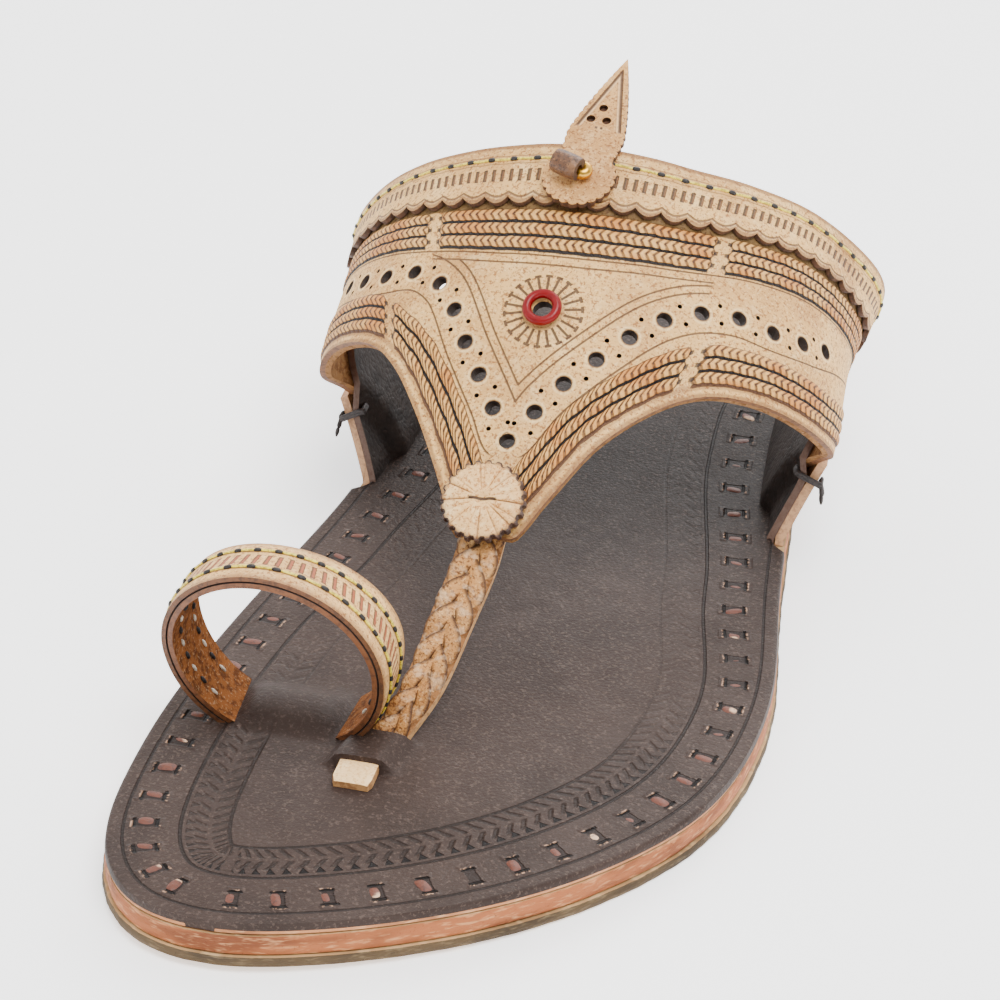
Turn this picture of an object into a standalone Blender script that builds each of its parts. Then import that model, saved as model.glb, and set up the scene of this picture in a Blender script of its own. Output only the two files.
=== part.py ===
"""Left kolhapuri sandal, unworn, standing on its sole.

The shoe lies along Y with its toe towards -Y and its big-toe side towards -X. The floor is
z = 0. The strap is worked out on one curved surface, the outside of the foot's instep:
across runs from 0 at the medial foot edge to 1 at the lateral one, along runs down the shoe.
"""
import math

import bmesh
import bpy
import numpy as np
from mathutils import Vector

# Driving sizes, metres
INSOLE_LENGTH = 0.280
BALL_WIDTH = 0.1004
INSTEP_HEIGHT = 0.0900
HEEL_RISE = 0.0083
TOE_SPRING = 0.0014
FIT_GAP = 0.0003

# Leather thicknesses
INSOLE_THICK = 0.0020
MIDSOLE_THICK = 0.0035
OUTSOLE_THICK = 0.0018
HEEL_LIFT_THICK = 0.0020
STRAP_WALL = 0.0022
WING_WALL = 0.0018
EAR_WALL = 0.0018
BAND_WALL = 0.0010
ROSETTE_WALL = 0.0018
CREST_WALL = 0.0012
LOOP_WALL = 0.0020
THONG_WALL = 0.0028

# Sole sizes
OUTSOLE_MARGIN = 0.0008
MIDSOLE_MARGIN = 0.0003
HEEL_BREAST_ALONG = 0.655
HEEL_TUCK = 0.0070
HEEL_TUCK_LENGTH = 0.034
SHANK_START_ALONG = 0.430
SHANK_LENGTH = 0.110
FLAT_START_ALONG = 0.200
STRAP_INSET = 0.0023

# Strap decoration
BRAID_PITCH = 0.0031
BRAID_RAISE = 0.00045
FRONT_BRAID_INSET = 0.0025
TOP_BRAID_INSET = 0.0146
BRAID_COUNT = 3
HOLE_DIAMETER = 0.0033
HOLE_PITCH = 0.00745
MEDIAL_HOLES = 9
LATERAL_HOLES = 10
COLLAR_BAND_WIDTH = 0.0142
SCALLOP_PITCH = 0.0047
SCALLOP_DEPTH = 0.0011
SIDE_SQUEEZE = 0.83
SQUEEZE_REACH = 0.27
DECORATION_REACH = 0.062
EYELET_BORE = 0.0038
EYELET_TUBE = 0.0017

# Ears, wings and ties
EAR_HEIGHT_SHARE = 0.080
WING_HEIGHT_SHARE = 0.128
TIE_WIDTH = 0.0012

# Toe loop, thong and ornaments
LOOP_WIDTH = 0.0128
LOOP_SPAN = 0.0354
LOOP_CREST = 0.0447
LOOP_LEAN = 0.0130
LOOP_TILT = 6.0
LOOP_FOOT_SPREAD = 1.26
LOOP_RAIL_RAISE = 0.0003
THONG_WIDTH = 0.0088
PLAIT_PITCH = 0.0056
PLAIT_RAISE = 0.0006
TAB_WIDTH = 0.0068
TAB_LENGTH = 0.0078
TAB_THICK = 0.0016
TIP_ROSETTE_DIAMETER = 0.0152
TIP_ROSETTE_TEETH = 24
CREST_DIAMETER = 0.0138
CREST_TEETH = 22
CREST_TURN = -8.0
LEAF_LENGTH = 0.0180
LEAF_WIDTH = 0.0123
BEAD_DIAMETER = 0.0040
ROLL_DIAMETER = 0.0046
ROLL_WIDTH = 0.0052

# How finely the curved pieces are faceted
SOLE_STATIONS = 46
STRAP_ROWS = 62
MIDDLE_COLUMNS = 5
LINING_COLUMNS = 7

# Sole outline: along is a share of the insole length from the toe tip, medial and lateral
# are shares of half the ball width from the centre line.
SOLE_OUTLINE = (
    # along, medial, lateral
    (0.0107, -0.749, -0.235),
    (0.0357, -0.880, 0.070),
    (0.0714, -0.958, 0.371),
    (0.125, -0.994, 0.673),
    (0.179, -0.998, 0.867),
    (0.250, -0.968, 0.976),
    (0.321, -0.914, 0.996),
    (0.411, -0.831, 0.946),
    (0.500, -0.761, 0.910),
    (0.607, -0.721, 0.880),
    (0.714, -0.703, 0.896),
    (0.804, -0.671, 0.906),
    (0.857, -0.622, 0.857),
    (0.911, -0.536, 0.741),
    (0.957, -0.390, 0.564),
    (0.986, -0.199, 0.365),
)
TOE_TIP_ACROSS = -0.518
HEEL_TIP_ACROSS = 0.100

# Sections of the strap surface: ridge and bulge heights are shares of the instep height,
# medial and lateral reach are shares of half the ball width.
STRAP_SECTIONS = (
    # along, ridge, bulge, medial, lateral
    (0.286, 0.289, 0.167, 0.757, 0.876),
    (0.321, 0.387, 0.189, 0.787, 0.916),
    (0.379, 0.517, 0.233, 0.837, 0.976),
    (0.436, 0.659, 0.289, 0.886, 1.036),
    (0.500, 0.785, 0.344, 0.926, 1.062),
    (0.550, 0.862, 0.389, 0.932, 1.055),
    (0.607, 0.925, 0.422, 0.955, 1.068),
    (0.664, 0.967, 0.467, 0.992, 1.113),
    (0.714, 0.990, 0.489, 1.002, 1.124),
)
RIDGE_ACROSS = 0.040
SECTION_EXPONENT = 1.8
SECTION_ANGLES = (90.0, 62.0, 34.0, 0.0)
FLANK_OUT = 0.55
FLANK_UP = 0.50

# Edges of the strap: across is the share of the way over the instep, along is a share of
# the insole length.
COLLAR_EDGE = (
    # across, along
    (0.04, 0.693),
    (0.1, 0.671),
    (0.16, 0.636),
    (0.2, 0.614),
    (0.25, 0.593),
    (0.315, 0.570),
    (0.375, 0.555),
    (0.44, 0.546),
    (0.51, 0.543),
    (0.578, 0.548),
    (0.65, 0.566),
    (0.72, 0.593),
    (0.78, 0.618),
    (0.84, 0.646),
    (0.9, 0.671),
    (0.96, 0.693),
)
FRONT_EDGE = (
    # across, along
    (0.04, 0.532),
    (0.09, 0.514),
    (0.13, 0.489),
    (0.18, 0.470),
    (0.225, 0.452),
    (0.269, 0.432),
    (0.297, 0.411),
    (0.325, 0.382),
    (0.356, 0.350),
    (0.384, 0.325),
    (0.41, 0.307),
    (0.5, 0.307),
    (0.541, 0.332),
    (0.581, 0.366),
    (0.619, 0.389),
    (0.655, 0.407),
    (0.684, 0.418),
    (0.728, 0.430),
    (0.784, 0.445),
    (0.831, 0.461),
    (0.87, 0.480),
    (0.91, 0.507),
    (0.96, 0.532),
)
# The line of large punched holes, from the V's point up each side
HOLE_LINE = (
    # across, along
    (0.160, 0.546),
    (0.200, 0.521),
    (0.245, 0.498),
    (0.286, 0.482),
    (0.330, 0.470),
    (0.357, 0.454),
    (0.390, 0.414),
    (0.432, 0.379),
    (0.461, 0.359),
    (0.498, 0.384),
    (0.553, 0.415),
    (0.604, 0.445),
    (0.636, 0.459),
    (0.675, 0.471),
    (0.716, 0.480),
    (0.766, 0.500),
    (0.810, 0.527),
    (0.850, 0.552),
)
TIP_HOLE_ACROSS = 0.461
STRAP_END = 0.04
BRAID_END = 0.105
BAND_END = 0.097
FRONT_BRAID_BREAKS = (0.29, 0.65)
TOP_BRAID_BREAKS = (0.341, 0.641)
EYELET_PLACE = (0.475, 0.432)
TIP_ROSETTE_PLACE = (0.450, 0.322)
CREST_PLACE = (0.490, 0.5165)

# Ears and wings, as shares of the insole length at their foot and at their top edge
EAR_FRONT_FOOT, EAR_FRONT_TOP = 0.493, 0.516
EAR_BACK_FOOT, EAR_BACK_TOP = 0.693, 0.679
EAR_BACK_GAIN = 1.15
WING_FRONT_FOOT, WING_FRONT_TOP = 0.497, 0.529
WING_BACK_FOOT, WING_BACK_TOP = 0.690, 0.650
EAR_SEAT_EASE = 0.016

# The thong's middle line: across is a share of half the ball width, height a share of the
# instep height, turn the yaw of its width in degrees, width a share of the thong's width.
THONG_LINE = (
    # along, across, height, turn, width
    (0.3250, -0.052, 0.370, 7.0, 1.00),
    (0.3036, -0.058, 0.313, 6.0, 1.00),
    (0.2643, -0.100, 0.229, -4.0, 0.97),
    (0.2250, -0.146, 0.151, -14.0, 0.88),
    (0.2043, -0.196, 0.109, -22.0, 0.80),
)
LOOP_ALONG = 0.209
LOOP_ACROSS = -0.562
LOOP_WAIST_HEIGHT = 0.0259
TAB_PLACE = (0.1546, -0.262)


def along(share):
    """Distance down the shoe of a share of the insole length."""
    return (share - 0.5) * INSOLE_LENGTH


def spline(knots, values, at, closed=False):
    """Smooth cubic curve through the values; a closed one repeats its first value last."""
    t = np.asarray(knots, float)
    v = np.asarray(values, float).reshape(len(t), -1)
    count = len(t)
    step = np.diff(t)
    rise = np.diff(v, axis=0) / step[:, None]
    matrix = np.eye(count)
    target = np.zeros_like(v)
    for i in range(1, count - 1):
        matrix[i, i - 1:i + 2] = step[i - 1], 2 * (step[i - 1] + step[i]), step[i]
        target[i] = 6 * (rise[i] - rise[i - 1])
    if closed:
        matrix[0, 0] = 2 * (step[-1] + step[0])
        matrix[0, 1] = step[0]
        matrix[0, -2] = step[-1]
        target[0] = 6 * (rise[0] - rise[-1])
        matrix[-1, 0] = -1
    bend = np.linalg.solve(matrix, target)
    at = np.atleast_1d(np.asarray(at, float))
    i = np.clip(np.searchsorted(t, at, side="right") - 1, 0, count - 2)
    h = step[i][:, None]
    a = (t[i + 1] - at)[:, None] / h
    b = 1 - a
    curve = a * v[i] + b * v[i + 1]
    return curve + ((a ** 3 - a) * bend[i] + (b ** 3 - b) * bend[i + 1]) * h ** 2 / 6


def even_curve(knots, values, at):
    """Curve that never swings past its own points, for the strap's cut edges."""
    t = np.asarray(knots, float)
    v = np.asarray(values, float)
    step = np.diff(t)
    rise = np.diff(v) / step
    slope = np.zeros_like(v)
    slope[0], slope[-1] = rise[0], rise[-1]
    for i in range(1, len(t) - 1):
        if rise[i - 1] * rise[i] > 0:
            near, far = 2 * step[i] + step[i - 1], step[i] + 2 * step[i - 1]
            slope[i] = (near + far) / (near / rise[i - 1] + far / rise[i])
    at = np.asarray(at, float)
    i = np.clip(np.searchsorted(t, at, side="right") - 1, 0, len(t) - 2)
    u = (at - t[i]) / step[i]
    ends = (2 * u ** 3 - 3 * u ** 2 + 1) * v[i] + (3 * u ** 2 - 2 * u ** 3) * v[i + 1]
    tangents = (u ** 3 - 2 * u ** 2 + u) * slope[i] + (u ** 3 - u ** 2) * slope[i + 1]
    return ends + tangents * step[i]


def ease(value):
    """Smooth step from 0 to 1."""
    value = np.clip(value, 0.0, 1.0)
    return value * value * (3 - 2 * value)


def column(table, index):
    return [row[index] for row in table]


# The sole's side view and outline

def rise(y):
    """How far the sole's layers lift off the floor, at the shank, heel and toe."""
    heel = HEEL_RISE * ease((y - along(SHANK_START_ALONG)) / SHANK_LENGTH)
    toe_share = np.clip((along(FLAT_START_ALONG) - y) / (FLAT_START_ALONG * INSOLE_LENGTH), 0, 1)
    return heel + TOE_SPRING * toe_share ** 2


def outsole_top(y):
    return rise(y) + OUTSOLE_THICK


def midsole_top(y):
    return outsole_top(y) + FIT_GAP + MIDSOLE_THICK


def insole_top(y):
    return midsole_top(y) + FIT_GAP + INSOLE_THICK


def sole_outline():
    """Closed outline of the insole, points round from the toe tip by the lateral side."""
    half = BALL_WIDTH / 2
    toe = [(TOE_TIP_ACROSS * half, along(0.0))]
    heel = [(HEEL_TIP_ACROSS * half, along(1.0))]
    lateral = [(row[2] * half, along(row[0])) for row in SOLE_OUTLINE]
    medial = [(row[1] * half, along(row[0])) for row in reversed(SOLE_OUTLINE)]
    points = np.array(toe + lateral + heel + medial + toe)
    chord = np.linalg.norm(np.diff(points, axis=0), axis=1)
    knots = np.concatenate([[0], np.cumsum(chord)])
    return spline(knots, points, np.linspace(0, knots[-1], 721), closed=True)[:-1]


OUTLINE = sole_outline()


def grown_outline(margin):
    """The outline moved outwards by a margin."""
    ahead = np.roll(OUTLINE, -1, axis=0) - np.roll(OUTLINE, 1, axis=0)
    ahead /= np.linalg.norm(ahead, axis=1)[:, None]
    return OUTLINE + margin * np.stack([ahead[:, 1], -ahead[:, 0]], axis=1)


def sole_edges(margin, stations):
    """Medial and lateral X of the grown outline at each station of Y."""
    points = grown_outline(margin)
    toe, heel = int(np.argmin(points[:, 1])), int(np.argmax(points[:, 1]))
    points = np.roll(points, -toe, axis=0)
    heel = (heel - toe) % len(points)
    lateral = points[:heel + 1]
    medial = np.vstack([points[heel:], points[:1]])[::-1]
    return [np.interp(stations, side[:, 1], side[:, 0]) for side in (medial, lateral)]


def sole_stations(margin, first_along=None, last_along=None, count=SOLE_STATIONS):
    """Stations down the sole, closer together round an end that is not cut off."""
    points = grown_outline(margin)
    trim = 0.0001
    start = points[:, 1].min() + trim if first_along is None else along(first_along)
    stop = points[:, 1].max() - trim if last_along is None else along(last_along)
    turn_from = math.pi / 2 if first_along is not None else 0.0
    turn_to = math.pi / 2 if last_along is not None else math.pi
    turn = -np.cos(np.linspace(turn_from, turn_to, count))
    share = (turn - turn[0]) / (turn[-1] - turn[0])
    return start + share * (stop - start)


# The strap's surface

def strap_section(y, samples):
    """One cross section of the strap's outer face, from medial to lateral foot."""
    half = BALL_WIDTH / 2
    places = [along(row[0]) for row in STRAP_SECTIONS]
    heights = [spline(places, column(STRAP_SECTIONS, i), y)[0, 0] for i in (1, 2)]
    reaches = [spline(places, column(STRAP_SECTIONS, i), y)[0, 0] for i in (3, 4)]
    ridge, bulge = (INSTEP_HEIGHT * share for share in heights)
    medial, lateral = (half * share for share in reaches)
    foot_medial, foot_lateral = (float(x[0]) for x in sole_edges(-STRAP_INSET, [y]))
    foot_height = float(insole_top(y))
    middle = RIDGE_ACROSS * half
    points = []
    for side, foot, reach in ((-1, -foot_medial, medial), (1, foot_lateral, lateral)):
        power = 2 / SECTION_EXPONENT
        half_side = [
            (side * foot, foot_height),
            (side * (foot + FLANK_OUT * (reach - foot)),
             foot_height + FLANK_UP * (bulge - foot_height)),
        ]
        for angle in SECTION_ANGLES:
            turn = math.radians(angle)
            out = (reach - side * middle) * abs(math.sin(turn)) ** power
            up = (ridge - bulge) * abs(math.cos(turn)) ** power
            half_side.append((middle + side * out, bulge + up))
        points += half_side if side < 0 else half_side[-2::-1]
    points = np.array(points)
    spans = np.sqrt(np.linalg.norm(np.diff(points, axis=0), axis=1))
    knots = np.concatenate([[0], np.cumsum(spans)])
    dense = spline(knots, points, np.linspace(0, knots[-1], 481))
    length = np.concatenate([[0], np.cumsum(np.linalg.norm(np.diff(dense, axis=0), axis=1))])
    wanted = np.linspace(0, length[-1], samples)
    return np.stack([np.interp(wanted, length, dense[:, i]) for i in (0, 1)], axis=1)


SURFACE_SAMPLES = 161
SURFACE_STATIONS = np.linspace(along(0.275), along(0.725), 85)
SURFACE = np.array([strap_section(y, SURFACE_SAMPLES) for y in SURFACE_STATIONS])


def surface_point(across, y):
    """Point of the strap's outer face."""
    across, y = np.broadcast_arrays(np.asarray(across, float), np.asarray(y, float))
    row = (y - SURFACE_STATIONS[0]) / (SURFACE_STATIONS[1] - SURFACE_STATIONS[0])
    row = np.clip(row, 0, len(SURFACE_STATIONS) - 1.001)
    cell = np.clip(across, 0, 1) * (SURFACE_SAMPLES - 1.001)
    i, j = row.astype(int), cell.astype(int)
    u, v = (row - i)[..., None], (cell - j)[..., None]
    near = SURFACE[i, j] * (1 - v) + SURFACE[i, j + 1] * v
    far = SURFACE[i + 1, j] * (1 - v) + SURFACE[i + 1, j + 1] * v
    flat = near * (1 - u) + far * u
    return np.stack([flat[..., 0], y, flat[..., 1]], axis=-1)


def surface_slopes(across, y):
    """Change of the surface point with across and with Y."""
    step_across, step_y = 0.008, 0.0020
    d_across = surface_point(across + step_across, y) - surface_point(across - step_across, y)
    d_y = surface_point(across, y + step_y) - surface_point(across, y - step_y)
    return d_across / (2 * step_across), d_y / (2 * step_y)


def on_strap(across, y, lift=0.0):
    """Point at a height over the strap's outer face."""
    across, y = np.broadcast_arrays(np.asarray(across, float), np.asarray(y, float))
    inner = np.clip(across, 0.008, 0.992)
    d_across, d_y = surface_slopes(inner, y)
    normal = np.cross(d_across, d_y)
    normal /= np.linalg.norm(normal, axis=-1)[..., None]
    return surface_point(across, y) + normal * np.asarray(lift)[..., None]


def edge_y(table, across):
    return along(even_curve(column(table, 0), column(table, 1), across))


def squeeze(across):
    """The decoration lies closer to the strap's edges towards the strap's ends."""
    return 1 - (1 - SIDE_SQUEEZE) * ease(np.abs(across - TIP_HOLE_ACROSS) / SQUEEZE_REACH)


def inset_lines(table, across, distances, direction):
    """Y of lines that run at distances inside one edge of the strap, a row for each place."""
    fine = np.linspace(STRAP_END, 1 - STRAP_END, 480)
    edge = surface_point(fine, edge_y(table, fine))
    reach = np.linspace(0, DECORATION_REACH, 125)
    wanted = np.asarray(distances, float)
    lines = []
    for place in across:
        y = edge_y(table, place) + direction * reach
        points = surface_point(place, y)
        away = np.linalg.norm(points[:, None] - edge[None], axis=2).min(axis=1)
        away = np.maximum.accumulate(away - away[0]) + reach * 1e-6
        lines.append(np.interp(wanted * squeeze(place), away, y))
    return np.array(lines)


# Building solids

def material(name, colour, roughness, metallic=0.0):
    made = bpy.data.materials.get(name)
    if made is None:
        made = bpy.data.materials.new(name)
        made.use_nodes = True
        shader = made.node_tree.nodes["Principled BSDF"]
        shader.inputs["Base Color"].default_value = (*colour, 1.0)
        shader.inputs["Roughness"].default_value = roughness
        shader.inputs["Metallic"].default_value = metallic
        made.diffuse_color = (*colour, 1.0)
    return made


def tan_leather():
    return material("tan_leather", (0.58, 0.39, 0.23), 0.60)


def dark_leather():
    return material("dark_leather", (0.072, 0.052, 0.048), 0.55)


def orange_leather():
    return material("orange_leather", (0.62, 0.29, 0.16), 0.65)


def sole_leather():
    return material("sole_leather", (0.48, 0.40, 0.30), 0.75)


def grey_leather():
    return material("grey_leather", (0.14, 0.16, 0.18), 0.60)


def body(name, mesh, finish):
    """Turn a bmesh into a named object whose faces point out."""
    bmesh.ops.recalc_face_normals(mesh, faces=mesh.faces)
    if mesh.calc_volume(signed=True) < 0:
        bmesh.ops.reverse_faces(mesh, faces=mesh.faces)
    data = bpy.data.meshes.new(name)
    mesh.to_mesh(data)
    mesh.free()
    made = bpy.data.objects.new(name, data)
    bpy.context.collection.objects.link(made)
    data.materials.append(finish)
    data.shade_smooth()
    data.set_sharp_from_angle(angle=math.radians(35))
    return made


def skin(name, rings, finish, ring_shaped=False):
    """Closed body over a row of rings of points; open ends are capped."""
    mesh = bmesh.new()
    loops = [[mesh.verts.new(point) for point in ring] for ring in rings]
    followers = loops[1:] + loops[:1] if ring_shaped else loops[1:]
    for near, far in zip(loops, followers):
        for i in range(len(near)):
            j = (i + 1) % len(near)
            mesh.faces.new((near[i], near[j], far[j], far[i]))
    if not ring_shaped:
        mesh.faces.new(loops[0][::-1])
        mesh.faces.new(loops[-1])
    return body(name, mesh, finish)


def join_on(target, helper, operation):
    """Add or cut a helper body with a Boolean modifier."""
    helper.hide_render = True
    helper.display_type = "WIRE"
    change = target.modifiers.new(helper.name, "BOOLEAN")
    change.operation = operation
    change.object = helper


# Sole

def plate(name, margin, bottom, top, finish, columns=2, first=None, last=None, ease_in=None):
    """A layer of the sole between two heights that follow Y."""
    stations = sole_stations(margin, first, last)
    medial, lateral = sole_edges(margin, stations)
    if ease_in is not None:
        medial, lateral = medial + ease_in(stations), lateral - ease_in(stations)
    rings = []
    for y, left, right in zip(stations, medial, lateral):
        upper = [(x, y, top(y)) for x in np.linspace(left, right, columns)]
        rings.append(upper + [(right, y, bottom(y)), (left, y, bottom(y))])
    return skin(name, rings, finish)


def outsole():
    return plate("outsole", OUTSOLE_MARGIN, rise, outsole_top, sole_leather(),
                 last=HEEL_BREAST_ALONG)


def midsole():
    return plate("midsole", MIDSOLE_MARGIN, lambda y: outsole_top(y) + FIT_GAP, midsole_top,
                 orange_leather())


def heel_tuck(y):
    """How far the heel's layers draw in under the sole towards the breast."""
    share = (y - along(HEEL_BREAST_ALONG)) / HEEL_TUCK_LENGTH
    return HEEL_TUCK * (1 - ease(share))


def heel_lift():
    breast = HEEL_BREAST_ALONG + FIT_GAP / INSOLE_LENGTH
    return plate("heel_lift", MIDSOLE_MARGIN, lambda y: outsole_top(y) - HEEL_LIFT_THICK,
                 outsole_top, orange_leather(), first=breast,
                 ease_in=lambda y: 0.4 * heel_tuck(y))


def heel_block():
    breast = HEEL_BREAST_ALONG + FIT_GAP / INSOLE_LENGTH
    return plate("heel_block", OUTSOLE_MARGIN, lambda y: 0.0 * y,
                 lambda y: outsole_top(y) - HEEL_LIFT_THICK - FIT_GAP, sole_leather(),
                 first=breast, ease_in=heel_tuck)


def ear_seat(y):
    """How far the insole steps in where the ears stand outside it."""
    front = ease((y - along(EAR_FRONT_FOOT - EAR_SEAT_EASE)) / (EAR_SEAT_EASE * INSOLE_LENGTH / 2))
    back = ease((along(EAR_BACK_FOOT + EAR_SEAT_EASE) - y) / (EAR_SEAT_EASE * INSOLE_LENGTH / 2))
    return (STRAP_INSET + FIT_GAP) * front * back


def dome(name, centre, half_length, half_width, height):
    """Flattened ellipsoid, the leather that humps up over a strap's end."""
    rings = []
    for latitude in np.linspace(0, 75, 5):
        ring_share = math.cos(math.radians(latitude))
        level = centre[2] + height * math.sin(math.radians(latitude))
        turns = np.linspace(0, 2 * math.pi, 17)[:-1]
        rings.append([(centre[0] + half_length * ring_share * math.cos(t),
                       centre[1] + half_width * ring_share * math.sin(t), level)
                      for t in turns])
    return skin(name, rings, dark_leather())


def flap(name, finish, side, lifts, front, back, height, foot_level, rows=13):
    """A leaf of leather that stands up beside the strap, on one side of the shoe."""
    rings = []
    for row in np.linspace(0, 1, rows):
        faces = []
        for lift in lifts:
            face = []
            for share in (0.0, 0.33, 0.67, 1.0):
                start = front[0] + (front[1] - front[0]) * share
                stop = back[0] + (back[1] - back[0]) * share
                y = along(start + (stop - start) * row)
                reach = share * height * (1 + (EAR_BACK_GAIN - 1) * row)
                across = reach if side < 0 else 1 - reach
                face.append(on_strap(across, y, lift))
            foot = face[0].copy()
            foot[2] = foot_level(foot[1])
            faces.append([foot] + face)
        rings.append(faces[0] + faces[1][::-1])
    return skin(name, rings, finish)


def insole():
    """Footbed with the two inner wings that it is cut with, and its humps over the straps."""
    bed = plate("insole", 0.0, lambda y: midsole_top(y) + FIT_GAP, insole_top, dark_leather(),
                columns=4, ease_in=ear_seat)
    outer = -(STRAP_WALL + FIT_GAP)
    lifts = (outer, outer - WING_WALL)
    sink = INSOLE_THICK / 2
    for side, word in ((-1, "medial"), (1, "lateral")):
        wing = flap("wing_" + word, dark_leather(), side, lifts,
                    (WING_FRONT_FOOT, WING_FRONT_TOP), (WING_BACK_FOOT, WING_BACK_TOP),
                    WING_HEIGHT_SHARE, lambda y: insole_top(y) - sink)
        join_on(bed, wing, "UNION")
    y = along(LOOP_ALONG)
    level = float(insole_top(y)) - sink
    loop_hump = dome("loop_hump", (LOOP_ACROSS * BALL_WIDTH / 2, y, level),
                     LOOP_SPAN * 0.185, LOOP_WIDTH * 0.52, LOOP_WALL * 1.1)
    join_on(bed, loop_hump, "UNION")
    thong_front = along(THONG_LINE[-1][0]) - THONG_WALL * 2.1
    tab_back = along(TAB_PLACE[0]) + TAB_LENGTH / 2
    x = (THONG_LINE[-1][1] + TAB_PLACE[1]) / 2 * BALL_WIDTH / 2
    thong_hump = dome("thong_hump", (x, (thong_front + tab_back) / 2, level),
                      TAB_WIDTH * 0.72, (thong_front - tab_back) / 2 - FIT_GAP,
                      THONG_WALL * 0.85)
    join_on(bed, thong_hump, "UNION")
    return bed


def ears():
    lifts = (FIT_GAP + EAR_WALL, FIT_GAP)
    for side, word in ((-1, "medial"), (1, "lateral")):
        flap("ear_" + word, grey_leather(), side, lifts, (EAR_FRONT_FOOT, EAR_FRONT_TOP),
             (EAR_BACK_FOOT, EAR_BACK_TOP), EAR_HEIGHT_SHARE,
             lambda y: midsole_top(y) + FIT_GAP)


# Upper

def braid_columns(first_inset):
    """Distances from the edge and raise shares: the edge itself, then a group of braids."""
    group = [(0.0, 0.0), (first_inset, 0.0)]
    for i in range(BRAID_COUNT):
        group.append((first_inset + (i + 0.5) * BRAID_PITCH, 1.0))
        group.append((first_inset + (i + 1) * BRAID_PITCH, 0.0))
    return group


FRONT_COLUMNS = braid_columns(FRONT_BRAID_INSET)
TOP_COLUMNS = braid_columns(TOP_BRAID_INSET)


def braid_raise(across, breaks):
    """Braids stand proud except near the strap's ends and at their breaks."""
    if across < BRAID_END or across > 1 - BRAID_END:
        return 0.0
    row_step = (1 - 2 * STRAP_END) / (STRAP_ROWS - 1)
    if min(abs(across - place) for place in breaks) < row_step / 2:
        return 0.0
    return BRAID_RAISE


def strap_ring(across, front_line, back_line):
    """Ring of points round the strap's wall at one place across the instep."""
    front_raise = braid_raise(across, FRONT_BRAID_BREAKS)
    back_raise = braid_raise(across, TOP_BRAID_BREAKS)
    front = [(y, raised * front_raise) for y, (_, raised) in zip(front_line, FRONT_COLUMNS)]
    back = [(y, raised * back_raise) for y, (_, raised) in zip(back_line, TOP_COLUMNS)]
    between = np.linspace(front[-1][0], back[-1][0], MIDDLE_COLUMNS + 2)[1:-1]
    outer = front + [(y, 0.0) for y in between] + back[::-1]
    ring = [on_strap(across, y, lift) for y, lift in outer]
    lining = np.linspace(back[0][0], front[0][0], LINING_COLUMNS)
    return ring + [on_strap(across, y, -STRAP_WALL) for y in lining]


def hole_places():
    """Punched holes at an even pitch both ways from the hole at the V's point."""
    fine = np.linspace(HOLE_LINE[0][0], HOLE_LINE[-1][0], 400)
    line = on_strap(fine, edge_y(HOLE_LINE, fine))
    run = np.concatenate([[0], np.cumsum(np.linalg.norm(np.diff(line, axis=0), axis=1))])
    start = np.interp(TIP_HOLE_ACROSS, fine, run)
    steps = np.arange(-MEDIAL_HOLES, LATERAL_HOLES + 1) * HOLE_PITCH
    return [(float(a), float(edge_y(HOLE_LINE, a))) for a in np.interp(start + steps, run, fine)]


def frame_on_strap(across, y, lift=0.0):
    """Origin, across, forward-up and normal directions at a place on the strap."""
    origin = on_strap(across, y, lift)
    d_across, d_y = surface_slopes(np.asarray(across), np.asarray(y))
    normal = np.cross(d_across, d_y)
    normal /= np.linalg.norm(normal)
    right = d_across / np.linalg.norm(d_across)
    back = np.cross(normal, right)
    return origin, right, back, normal


def punch(name, places, diameter, sides=10):
    """Cutters square to the strap, joined as one helper."""
    mesh = bmesh.new()
    reach = STRAP_WALL * 2
    for across, y in places:
        origin, right, back, normal = frame_on_strap(across, y)
        turns = np.arange(sides) * 2 * math.pi / sides
        rims = []
        for depth in (-reach, reach):
            rims.append([mesh.verts.new(origin + normal * depth + diameter / 2
                                        * (right * math.cos(t) + back * math.sin(t)))
                         for t in turns])
        low, high = rims
        for i in range(sides):
            j = (i + 1) % sides
            mesh.faces.new((low[i], low[j], high[j], high[i]))
        mesh.faces.new(low[::-1])
        mesh.faces.new(high)
    return body(name, mesh, tan_leather())


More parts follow.
